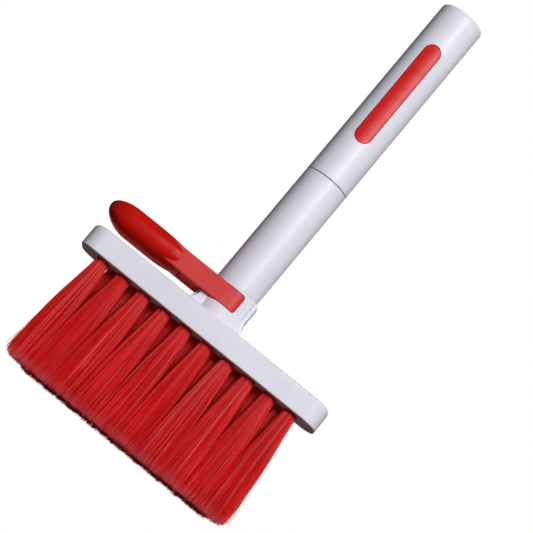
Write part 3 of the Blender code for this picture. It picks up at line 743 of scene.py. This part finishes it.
def bristle_tree():
    """Strands that start in a round hole, flare early and end in an oval."""
    made = Tree(bpy.data.node_groups.new("bristles", "GeometryNodeTree"))
    made.tree.is_modifier = True
    made.sockets("Int", "Strands", "Points", "Seed")
    made.sockets("Vector", "Root", "Tip")
    made.sockets(
        "Float",
        "Strand Radius", "Top", "Root Radius", "Tip Half Length", "Tip Half Depth", "Tip Fullness",
        "Flare Place", "Flare Along", "Flare Across", "Belly", "Unevenness", "Clumping", "Wander",
        "Stray Share", "Stray Reach", "Trim", "Trim Side",
    )
    made.sockets("Material", "Finish")
    made.sockets("Geometry", "Mesh", way="OUTPUT")
    given = made.add("NodeGroupInput").outputs
    index = made.add("GeometryNodeInputIndex").outputs[0]
    plus, minus, times = made.plus, made.minus, made.times

    def chance(low, high, step):
        """A random number of a strand's own."""
        inputs = {2: low, 3: high, 7: index, 8: plus(given["Seed"], step)}
        return made.add("FunctionNodeRandomValue", inputs, data_type="FLOAT").outputs[1]

    def shifted(place, size, *shift):
        """A place in the noise, which changes slowly from strand to strand."""
        return made.vector("ADD", made.vector("SCALE", place, size), made.joined(*shift))

    share = made.maths("SQRT", made.maths("DIVIDE", plus(index, 0.5), given["Strands"]))
    turn = times(index, math.pi * (3 - math.sqrt(5)))
    spot_x = times(share, made.maths("COSINE", turn))
    spot_y = times(share, made.maths("SINE", turn))
    spot = made.joined(spot_x, spot_y, 0.0)
    points = made.add("GeometryNodePoints", {"Count": given["Strands"]}).outputs[0]
    bundle = made.ranged(made.noise(shifted(spot, 10.0, given["Seed"], 0.0, 0.0), 1.0), 0.28, 0.72)
    for name, kind, value in (
        ("spot", "FLOAT_VECTOR", spot),
        ("strand", "FLOAT", plus(times(bundle, 0.35), chance(0.0, 0.65, 1))),
        ("cut", "FLOAT", chance(0.0, 1.0, 2)),
        ("stray", "FLOAT", chance(0.0, 1.0, 3)),
    ):
        store = made.add("GeometryNodeStoreNamedAttribute", {0: points, 2: name, 3: value}, data_type=kind)
        points = store.outputs[0]
    line = made.add("GeometryNodeCurvePrimitiveLine").outputs[0]
    line = made.add("GeometryNodeResampleCurve", {"Curve": line, "Count": given["Points"]}).outputs[0]
    strands = made.add("GeometryNodeInstanceOnPoints", {"Points": points, "Instance": line}).outputs[0]
    strands = made.add("GeometryNodeRealizeInstances", {0: strands}).outputs[0]

    def stored(name, kind="FLOAT"):
        return made.add("GeometryNodeInputNamedAttribute", {0: name}, data_type=kind).outputs[0]

    spot = stored("spot", "FLOAT_VECTOR")
    parts = made.split(spot)
    root = made.split(given["Root"])
    tip = made.split(given["Tip"])
    seed = times(given["Seed"], 3.7)

    ragged = made.ranged(made.noise(shifted(spot, 1.9, seed, 0.0, 5.0), 1.0, 1.0), 0.3, 0.7)
    cut = plus(times(stored("cut"), 0.6), times(ragged, 0.4))
    outer = made.maths("MAXIMUM", times(parts[0], given["Trim Side"]), 0.0)
    trim = times(made.maths("POWER", outer, 3.0), given["Trim"])
    end = plus(plus(tip[2], times(cut, given["Unevenness"])), trim)
    factor = made.add("GeometryNodeSplineParameter").outputs["Factor"]
    height = made.between(given["Top"], end, factor)
    down = made.ranged(height, root[2], tip[2])

    def flare(reached):
        """How much of its spread a tuft has, fast up to the flare's place and slowly after it."""
        early = times(down, made.maths("DIVIDE", reached, given["Flare Place"]))
        rise = made.maths("DIVIDE", minus(1.0, reached), minus(1.0, given["Flare Place"]))
        late = plus(reached, times(minus(down, given["Flare Place"]), rise))
        return made.maths("MAXIMUM", made.maths("SMOOTH_MIN", early, late, 0.10), 0.0)

    square = times(times(parts[0], parts[1]), 2.0)
    square = times(times(square, square), given["Tip Fullness"])
    bulge = made.maths("SINE", times(made.maths("POWER", down, 1.6), math.pi))
    fuller = plus(plus(1.0, times(square, down)), times(bulge, given["Belly"]))
    flat = []
    spreads = (("Tip Half Length", "Flare Along"), ("Tip Half Depth", "Flare Across"))
    for axis, (half, reached) in enumerate(spreads):
        reach = made.between(given["Root Radius"], given[half], flare(given[reached]))
        middle = made.between(root[axis], tip[axis], down)
        flat.append(plus(middle, times(parts[axis], times(reach, fuller))))

    def drift(place, amount, growth):
        """A sideways move by noise, larger towards the tips."""
        spread = made.vector("SUBTRACT", made.noise(place, 1.0, 1.0, "Color"), (0.5, 0.5, 0.5))
        moved = made.vector("SCALE", spread, times(times(amount, 3.0), growth))
        return made.vector("MULTIPLY", moved, (1.0, 1.0, 0.0))

    own_place = made.joined(times(stored("cut"), 90.0), times(down, 1.6), seed)
    wander = drift(own_place, given["Wander"], down)
    clumping = drift(shifted(spot, 3.1, seed, 2.0, down), given["Clumping"], times(down, down))
    loose = made.maths("LESS_THAN", stored("stray"), given["Stray Share"])
    reach = times(times(loose, made.maths("POWER", down, 4.0)), given["Stray Reach"])
    outward = made.vector("MULTIPLY", made.vector("SCALE", spot, reach), (1.0, 0.35, 0.0))
    move = made.vector("ADD", made.vector("ADD", wander, clumping), outward)
    place = made.vector("ADD", made.joined(*flat, height), move)
    strands = made.add("GeometryNodeSetPosition", {"Geometry": strands, "Position": place}).outputs[0]
    store = made.add("GeometryNodeStoreNamedAttribute", {0: strands, 2: "along", 3: down}, data_type="FLOAT")
    ring = made.add("GeometryNodeCurvePrimitiveCircle", {"Resolution": 4, "Radius": given["Strand Radius"]})
    inputs = {
        "Curve": store.outputs[0],
        "Profile Curve": ring.outputs[0],
        "Scale": made.ranged(factor, 0.8, 1.0, 1.0, 0.6),
        "Fill Caps": True,
    }
    tubes = made.add("GeometryNodeCurveToMesh", inputs).outputs[0]
    smooth = made.add("GeometryNodeSetShadeSmooth", {"Geometry": tubes}).outputs[0]
    return made.completed(smooth, given["Finish"])


def grown_by(tree, name, values, source=None):
    """A plain mesh object made by a geometry tree with the given values."""
    made = linked(name, source or bpy.data.meshes.new(name))
    step = made.modifiers.new(tree.name, "NODES")
    step.node_group = tree
    for item in tree.interface.items_tree:
        if item.item_type == "SOCKET" and item.in_out == "INPUT" and item.name in values:
            step[item.identifier] = values[item.name]
    return baked(made)


def red_tufts(tree):
    """All the tufts of the head, each from its hole to its own oval at the tips."""
    rows = [[name for name in TUFTS if name.startswith(row)] for row in ("front", "back")]
    first = [row[0] for row in rows]
    last = [row[-1] for row in rows]
    for number, name in enumerate(TUFTS):
        low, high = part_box("tuft_" + name)
        centre = tuft_centre(name)
        left = low.x - (0 if name in first else TIP_OVERLAP)
        right = high.x + (0 if name in last else TIP_OVERLAP)
        if name == last[0]:
            right += OUTER_TUFT_LEAN
        values = {
            "Strands": STRANDS,
            "Points": STRAND_POINTS,
            "Seed": 11 + 7 * number,
            "Root": (centre.x, centre.y, UNDERSIDE),
            "Tip": ((left + right) / 2, (low.y + high.y) / 2, low.z),
            "Strand Radius": STRAND_RADIUS,
            "Top": STRAND_TOP,
            "Root Radius": HOLE_RADIUS - STRAND_RADIUS - HAIRLINE,
            "Tip Half Length": (right - left) / 2 - STRAND_RADIUS,
            "Tip Half Depth": (high.y - low.y) / 2 - STRAND_RADIUS,
            "Tip Fullness": TIP_FULLNESS,
            "Flare Place": FLARE_PLACE,
            "Flare Along": FLARE_ALONG,
            "Flare Across": FLARE_ACROSS,
            "Unevenness": TIP_UNEVENNESS,
            "Clumping": CLUMPING,
            "Wander": WANDER,
            "Stray Share": STRAY_SHARE,
            "Stray Reach": OUTER_STRAY_REACH if name in first + last else STRAY_REACH,
            "Trim": OUTER_TRIM,
            "Trim Side": float((name in last) - (name in first)),
            "Finish": RED_BRISTLE,
        }
        made = grown_by(tree, "bristles_" + name, values)
        placed(made, "head", "red_bristle", "tuft_" + name)


def barrel_tube():
    """Lower half of the pen, with the cap's spigot and a bore at each end."""
    bore = HOLDER_RADIUS + HAIRLINE
    foot = NECK_TOP + HAIRLINE / 2
    profile = [(bore, foot), (PEN_RADIUS, foot)]
    profile += corner(PEN_RADIUS, SHOULDER, MOUTH_EDGE, 0, 90, 3)
    profile += [(SPIGOT_RADIUS, SHOULDER)]
    profile += corner(SPIGOT_RADIUS, BARREL_HIGH.z, SMALL_EDGE, 0, 90)
    profile += [(TOOL_BORE, BARREL_HIGH.z), (TOOL_BORE, TOOL_BORE_FOOT), (bore, TOOL_BORE_FOOT)]
    steps = ROUND_STEPS
    turned_piece("barrel_tube", profile, PEN_WHITE, "pen", "white_plastic", "pen_barrel", steps, True)


def inlay_outline(inset):
    """Outline of the inlay in X and Z, moved inwards by an inset."""
    radius = INLAY_HALF_WIDTH - inset
    upper = arc((0, INLAY_HIGH.z - INLAY_HALF_WIDTH), radius, 0, 180, 32)
    lower = arc((0, INLAY_LOW.z + INLAY_HALF_WIDTH), radius, 180, 360, 32)
    return upper + lower


def wrapped(outline, radius):
    """An outline in X and Z laid round the front of the pen."""
    return [(x, -math.sqrt(radius * radius - x * x), z) for x, z in outline]


def inlay_solid(name, inset, back, front, edge):
    """A long oval shield laid round the pen between two radii, its front edge rounded."""
    widest = INLAY_HALF_WIDTH - inset
    rows = [inset + (widest - INLAY_CORE_RADIUS) * row / INLAY_ROWS for row in range(INLAY_ROWS + 1)]
    levels = [(row, back) for row in reversed(rows)]
    if edge:
        levels += corner(inset, front, edge, 180, 90, 5)
        levels += [(row, front) for row in rows if row > inset + edge]
    else:
        levels += [(row, front) for row in rows]
    return closed_mesh(name, [wrapped(inlay_outline(row), radius) for row, radius in levels])


def cap_tube():
    """Upper half of the pen, closed at the end, with a pocket for its inlay."""
    foot = CAP_LOW.z
    straight = CAP_HIGH.z - CAP_END_RADIUS - foot
    profile = [
        (CAP_BORE, CAP_HIGH.z - CAP_END_THICKNESS),
        (CAP_BORE, foot + SPIGOT_LENGTH),
        (CAP_SOCKET, foot + SPIGOT_LENGTH),
        (CAP_SOCKET, foot),
    ]
    profile += corner(PEN_RADIUS, foot, MOUTH_EDGE, 270, 360, 3)
    profile += [(PEN_RADIUS, foot + straight * row / CAP_ROWS) for row in range(1, CAP_ROWS)]
    profile += corner(PEN_RADIUS, CAP_HIGH.z, CAP_END_RADIUS, 0, 90, 8)
    profile += [(radius, CAP_HIGH.z) for radius in CAP_END_RINGS]
    made = linked("cap_tube", turned("cap_tube", profile), PEN_WHITE)

    floor = PEN_RADIUS - INLAY_THICKNESS - HAIRLINE
    pocket = inlay_solid("pocket", -HAIRLINE, floor, PEN_RADIUS + OVERRUN, 0)
    combined(made, pocket, "DIFFERENCE", PEN_WHITE)
    placed(smoothed(made), "cap", "white_plastic", "pen_cap")


def red_inlay():
    """Bare inlay, flush with the cap."""
    mesh = inlay_solid("red_inlay", 0.0, PEN_RADIUS - INLAY_THICKNESS, PEN_RADIUS, INLAY_EDGE)
    made = linked("red_inlay", mesh, INLAY_FINISH)
    placed(smoothed(made, SOFT_SMOOTH_ANGLE), "cap", "red_inlay", "cap_inlay")


def nib_and_holder():
    """Plug in the barrel's lower end and the steel nib in it."""
    hole = NIB_RADIUS + HAIRLINE
    profile = [(hole, NIB_HIGH.z + HAIRLINE), (hole, HOLDER_LOW.z)]
    profile += corner(HOLDER_SPIGOT_RADIUS, HOLDER_LOW.z, SMALL_EDGE, 270, 360)
    profile += [(HOLDER_SPIGOT_RADIUS, HOLDER_SHOULDER), (HOLDER_RADIUS, HOLDER_SHOULDER)]
    profile += corner(HOLDER_RADIUS, HOLDER_HIGH.z, SMALL_EDGE, 0, 90)
    turned_piece("nib_plug", profile, PEN_WHITE, "pen", "white_plastic", "nib_holder")

    profile = [(NIB_RADIUS - NIB_EDGE, NIB_HIGH.z), (NIB_RADIUS, NIB_HIGH.z - NIB_EDGE)]
    profile += [(NIB_RADIUS, NIB_TAPER_TOP)]
    for row in range(1, NIB_TAPER_ROWS):
        share = row / NIB_TAPER_ROWS
        radius = NIB_RADIUS + (NIB_TIP_RADIUS - NIB_RADIUS) * share
        profile.append((radius, NIB_TAPER_TOP - (NIB_TAPER_TOP - NIB_LOW.z) * share))
    profile += arc((0, NIB_LOW.z + NIB_TIP_RADIUS), NIB_TIP_RADIUS, 0, -75, 4)
    turned_piece("steel_nib", profile, NIB_STEEL, "pen", "steel", "metal_nib")


def carrier():
    """Collar on the barrel's rim, with a plug below it and a stalk above."""
    hole = STEM_RADIUS + HAIRLINE
    top = CARRIER_HIGH.z
    foot = CARRIER_LOW.z
    profile = [(hole, top - STEM_HOLE_DEPTH), (hole, top)]
    profile += corner(STALK_RADIUS, top, SMALL_EDGE, 90, 0)
    profile += corner(STALK_RADIUS, COLLAR_TOP, SMALL_EDGE, 180, 270)
    profile += corner(COLLAR_RADIUS, COLLAR_TOP, SMALL_EDGE, 90, 0)
    profile += [(COLLAR_RADIUS, COLLAR_FOOT), (PLUG_RADIUS, COLLAR_FOOT)]
    profile += corner(PLUG_RADIUS, foot, SMALL_EDGE, 0, -90)
    profile += [(hole, foot), (hole, foot + STEM_HOLE_DEPTH)]
    turned_piece("carrier", profile, PEN_WHITE, "tool", "white_plastic", "tool_carrier")


def fine_brush(tree):
    """Fine black brush below the carrier: a stem in its hole and the bristles round it."""
    foot = FERRULE_TOP - FERRULE_LENGTH
    profile = [(STEM_RADIUS, FINE_HIGH.z), (STEM_RADIUS, FERRULE_TOP)]
    profile += corner(FERRULE_RADIUS, FERRULE_TOP, SMALL_EDGE, 90, 0)
    profile += [(FERRULE_RADIUS - FERRULE_EDGE, foot + FERRULE_EDGE), (FERRULE_RADIUS - FERRULE_LIP, foot)]
    turned_piece("fine_brush_stem", profile, BLACK_PLASTIC, "tool", "black_bristle", "fine_brush")
    values = {
        "Strands": FINE_STRANDS,
        "Points": STRAND_POINTS,
        "Seed": 5,
        "Root": (0.0, 0.0, FINE_ROOT),
        "Tip": (0.0, 0.0, FINE_LOW.z),
        "Strand Radius": FINE_STRAND_RADIUS,
        "Top": FERRULE_TOP - FERRULE_LIP,
        "Root Radius": FINE_ROOT_RADIUS,
        "Tip Half Length": FINE_TIP_RADIUS,
        "Tip Half Depth": FINE_TIP_RADIUS,
        "Flare Place": 0.5,
        "Flare Along": 0.6,
        "Flare Across": 0.6,
        "Belly": 0.28,
        "Unevenness": 0.0009,
        "Clumping": 0.00012,
        "Wander": 0.00012,
        "Stray Share": 0.01,
        "Stray Reach": 0.0003,
        "Finish": BLACK_BRISTLE,
    }
    placed(grown_by(tree, "fine_bristles", values), "tool", "black_bristle", "fine_brush")


def flock_tree():
    """Short fibres that stand on a surface."""
    made = Tree(bpy.data.node_groups.new("flock", "GeometryNodeTree"))
    made.tree.is_modifier = True
    made.sockets("Geometry", "Mesh")
    made.sockets("Float", "Density", "Fibre Length")
    made.sockets("Int", "Seed")
    made.sockets("Material", "Finish")
    made.sockets("Geometry", "Mesh", way="OUTPUT")
    given = made.add("NodeGroupInput").outputs
    seed = given["Seed"]
    inputs = {"Mesh": given["Mesh"], "Density": given["Density"], "Seed": seed}
    spread = made.add("GeometryNodeDistributePointsOnFaces", inputs).outputs
    inputs = {0: (-0.5, -0.5, -1.0), 1: (0.5, 0.5, 1.0), 8: seed}
    tilt = made.add("FunctionNodeRandomValue", inputs, data_type="FLOAT_VECTOR").outputs[0]
    inputs = {0: spread["Rotation"], 1: tilt}
    turn = made.add("FunctionNodeRotateRotation", inputs, rotation_space="LOCAL").outputs[0]
    size = made.add("FunctionNodeRandomValue", {2: 0.6, 3: 1.0, 8: seed}, data_type="FLOAT").outputs[1]
    inputs = {
        "Vertices": 3,
        "Radius Top": FLOCK_TIP_RADIUS,
        "Radius Bottom": FLOCK_ROOT_RADIUS,
        "Depth": given["Fibre Length"],
    }
    cone = made.add("GeometryNodeMeshCone", inputs, fill_type="NONE").outputs["Mesh"]
    inputs = {"Points": spread["Points"], "Instance": cone, "Rotation": turn, "Scale": size}
    fibres = made.add("GeometryNodeInstanceOnPoints", inputs).outputs[0]
    return made.completed(fibres, given["Finish"])


def sponge():
    """Foam tip on its stem, covered in short flock."""
    radius = SPONGE_RADIUS - FLOCK_LENGTH
    dome = SPONGE_HIGH.z - FLOCK_LENGTH - radius
    foot = SPONGE_FOOT + SPONGE_EDGE
    profile = [(STEM_RADIUS, SPONGE_LOW.z), (STEM_RADIUS, SPONGE_FOOT)]
    profile += corner(radius, SPONGE_FOOT, SPONGE_EDGE, 270, 360, 5)
    profile += [(radius, foot + (dome - foot) * row / SPONGE_ROWS) for row in range(1, SPONGE_ROWS)]
    profile += arc((0, dome), radius, 0, 86, 16)
    mesh = turned("foam_tip", profile, SMALL_ROUND_STEPS)
    for vertex in mesh.vertices:
        place = vertex.co
        if place.z < SPONGE_FOOT:
            continue
        dent = noise.fractal(place * SPONGE_DENT_SCALE, 0.9, 2.1, 3) * SPONGE_DENT
        out = Vector((place.x, place.y, 0)).normalized()
        vertex.co = place + out * min(dent, SPONGE_DENT_LIMIT)
    foam = linked("foam_tip", mesh, FOAM_GREY)
    flock_source = foam.data.copy()
    placed(smoothed(foam, SOFT_SMOOTH_ANGLE), "tool", "grey_sponge", "flock_sponge")
    values = {"Density": FLOCK_DENSITY, "Fibre Length": FLOCK_LENGTH, "Seed": 3, "Finish": FLOCK_GREY}
    flock = grown_by(flock_tree(), "foam_flock", values, flock_source)
    placed(flock, "tool", "grey_sponge", "flock_sponge")


def pad_mesh():
    """Thumb pad: a full oval with a round nose, slimmer at the root of the fork."""
    nose_end = PULLER_LOW.x
    nose_root = nose_end + PAD_NOSE_LENGTH
    stations = []
    for index in range(PAD_ROWS + 1):
        angle = math.radians(PAD_NOSE_START + (90 - PAD_NOSE_START) * index / PAD_ROWS)
        place = nose_end + PAD_NOSE_LENGTH * (1 - math.cos(angle))
        stations.append((place, math.sin(angle), math.sin(angle), 0.0))
    for index in range(1, 4):
        stations.append((nose_root + (PAD_TAIL_START - nose_root) * index / 4, 1.0, 1.0, 0.0))
    for index in range(PAD_ROWS - 1):
        share = index / PAD_ROWS
        stations.append((PAD_TAIL_START + PAD_TAIL_LENGTH * share, *tail_shares(share), 0.0))
    for index in range(1, 6):
        angle = math.radians(90 * index / 5)
        place = FORK_ROOT - PAD_TAIL_EDGE * (1 - math.sin(angle))
        share = 1 - (FORK_ROOT - place) / PAD_TAIL_LENGTH
        stations.append((place, *tail_shares(share), PAD_TAIL_EDGE * (1 - math.cos(angle))))
    loops = []
    for place, width, height, inset in stations:
        middle = PULLER_MIDDLE + PAD_NOSE_RISE * (1 - height) - PAD_DROP * height
        before = max(PAD_TAIL_START - place, 0.0) / (PAD_TAIL_START - nose_end)
        width *= 1 - PAD_SWELL * before * before
        loops.append(oval(place, PAD_HALF_WIDTH * width - inset, PAD_HALF_HEIGHT * height - inset, middle))
    return closed_mesh("puller_fork", loops)


def tail_shares(share):
    """Width and height of the pad, of its fullest, at a share of its tail."""
    fall = share**PAD_TAIL_POWER
    return 1 - (1 - PAD_TAIL_WIDTH_SHARE) * fall, 1 - (1 - PAD_TAIL_HEIGHT_SHARE) * fall


def oval(place, half_width, half_height, middle):
    """A full oval in Y and Z."""
    loop = []
    for index in range(PAD_ROUND_STEPS):
        turn = 2 * math.pi * (index + 0.5) / PAD_ROUND_STEPS
        across = math.copysign(abs(math.cos(turn)) ** (2 / PAD_SECTION_POWER), math.cos(turn))
        up = math.copysign(abs(math.sin(turn)) ** (2 / PAD_SECTION_POWER), math.sin(turn))
        loop.append((place, half_width * across, middle + half_height * up))
    return loop


def arm_mesh(side):
    """One arm of the fork, flush with the neck, with a small lip inside its end."""
    start = PAD_TAIL_START + ARM_LAP
    lip_end = ARM_REACH - LIP_LENGTH
    lip_start = lip_end - LIP_RAMP
    corner_start = ARM_REACH - ARM_CORNER_RADIUS
    places = [start + (lip_start - start) * index / ARM_ROWS for index in range(ARM_ROWS + 1)]
    places += [lip_end - LIP_RAMP / 2, lip_end]
    places += [lip_end + (corner_start - lip_end) * index / 3 for index in range(1, 4)]
    for index in range(1, ARM_CORNER_STEPS + 1):
        angle = math.radians(90 * index / ARM_CORNER_STEPS)
        places.append(corner_start + ARM_CORNER_RADIUS * math.sin(angle))
    loops = []
    for x in places:
        outer = PEN_RADIUS if x <= 0 else math.sqrt(PEN_RADIUS**2 - x * x)
        ramp = min(max((x - lip_start) / LIP_RAMP, 0.0), 1.0)
        inner = ARM_INNER - LIP_DEPTH * ramp
        past = max(x - corner_start, 0.0)
        half = ARM_HALF_HEIGHT - ARM_CORNER_RADIUS + math.sqrt(ARM_CORNER_RADIUS**2 - past * past)
        half -= ARM_TAPER * max(1 - (x - start) / ARM_TAPER_LENGTH, 0.0)
        left = ARM_REACH - x
        inset = ARM_EDGE - math.sqrt(ARM_EDGE**2 - (ARM_EDGE - left) ** 2) if left < ARM_EDGE else 0.0
        depth = (outer - inner) / 2 - inset
        section = rounded_rectangle(depth, half, min(ARM_EDGE, depth * 0.9), 4)
        loops.append([(x, side * ((outer + inner) / 2 + y), PULLER_MIDDLE + z) for y, z in section])
    return closed_mesh("arm", loops)


def puller_fork():
    """Thumb pad and two arms in one moulding, glossy on the pad and satin on the arms, the arms' red paler
    and pinker as painted sheen.
    """
    made = linked("puller_fork", pad_mesh(), PAD_FINISH)
    for side in (-1, 1):
        combined(made, arm_mesh(side), "UNION", ARM_PAINTED_SHEEN_FINISH)
    placed(smoothed(made), "puller", "red_plastic", "keycap_puller")


def wire_anchors():
    """The wire anchors keep their own shape and get steel."""
    for name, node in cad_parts.items():
        if name.startswith("anchor_"):
            for material_slot in node.material_slots:
                material_slot.material = WIRE_STEEL


def studio_floor():
    """Pale floor that fades out far from the brush, seen only from above."""
    bm = bmesh.new()
    bmesh.ops.create_grid(bm, x_segments=8, y_segments=8, size=FLOOR_HALF_SIZE)
    mesh = bpy.data.meshes.new("studio_floor")
    bm.to_mesh(mesh)
    bm.free()
    made, tree, shader = surface("floor_paper")
    place = tree.own_place()
    far = tree.add("ShaderNodeVectorMath", {0: place}, operation="LENGTH").outputs["Value"]
    paper = tree.mixed(tree.ranged(tree.noise(place, 700.0, 3.0), 0.3, 0.7), *PAPER_WHITES)
    tree.fill(shader, {"Base Color": tree.mixed(tree.seen(), FLOOR_BOUNCE, paper), "Roughness": 0.9})
    clear = tree.add("ShaderNodeBsdfTransparent").outputs[0]
    back = tree.add("ShaderNodeNewGeometry").outputs["Backfacing"]
    hidden = tree.maths("MAXIMUM", back, tree.ranged(far, *FLOOR_FADE))
    blend = tree.add("ShaderNodeMixShader", {0: hidden, 1: shader.outputs[0], 2: clear})
    tree.fill(made.node_tree.nodes["Material Output"], {"Surface": blend.outputs[0]})
    floor = linked("studio_floor", mesh, made)
    floor.visible_shadow = False


def studio_light():
    """Dim even light from all round, white where it is seen, and soft square lamps that face the brush."""
    world = bpy.data.worlds.new("studio_world")
    bpy.context.scene.world = world
    world.use_nodes = True
    tree = Tree(world.node_tree)
    strength = tree.ranged(tree.seen(), 0.0, 1.0, WORLD_LIGHT, 1.0)
    tree.fill(world.node_tree.nodes["Background"], {"Color": (1.0, 1.0, 1.0), "Strength": strength})
    middle = (CAD_LOW + CAD_HIGH) / 2
    for name, way, distance, size, power in LAMPS:
        data = bpy.data.lights.new(name, "AREA")
        data.shape = "SQUARE"
        data.size = size
        data.energy = power
        made = linked(name, data)
        made.location = middle + Vector(way).normalized() * distance
        made.rotation_euler = (middle - made.location).to_track_quat("-Z", "Y").to_euler()


def photo_camera():
    """Camera at the photograph's viewing angle, rolled as the brush leans in its frame."""
    data = bpy.data.cameras.new("photo_camera")
    made = linked("photo_camera", data)
    level = math.cos(CAMERA_ELEVATION)
    x = math.sin(CAMERA_AZIMUTH) * level
    y = -math.cos(CAMERA_AZIMUTH) * level
    back = Vector((x, y, math.sin(CAMERA_ELEVATION)))
    right = Vector((0, 0, 1)).cross(back).normalized()
    up = back.cross(right)
    turn = Matrix((right, up, back)).transposed() @ Matrix.Rotation(CAMERA_ROLL, 3, "Z")
    made.rotation_euler = turn.to_euler()
    made.location = Vector((0, 0, CAMERA_AIM_HEIGHT)) + back * CAMERA_DISTANCE
    data.sensor_width = SENSOR_WIDTH
    data.lens = CAMERA_FOCAL / FRAME_WIDTH * SENSOR_WIDTH
    data.shift_x = CAMERA_SHIFT[0] / FRAME_WIDTH
    data.shift_y = CAMERA_SHIFT[1] / FRAME_WIDTH
    data.clip_start = 0.01
    data.clip_end = 10.0
    bpy.context.scene.camera = made


bpy.context.scene.view_settings.view_transform = "Standard"
photo_camera()
studio_floor()
studio_light()
head_moulding()
drilled_plate()
strand_tree = bristle_tree()
red_tufts(strand_tree)
wire_anchors()
barrel_tube()
cap_tube()
red_inlay()
nib_and_holder()
carrier()
fine_brush(strand_tree)
sponge()
puller_fork()
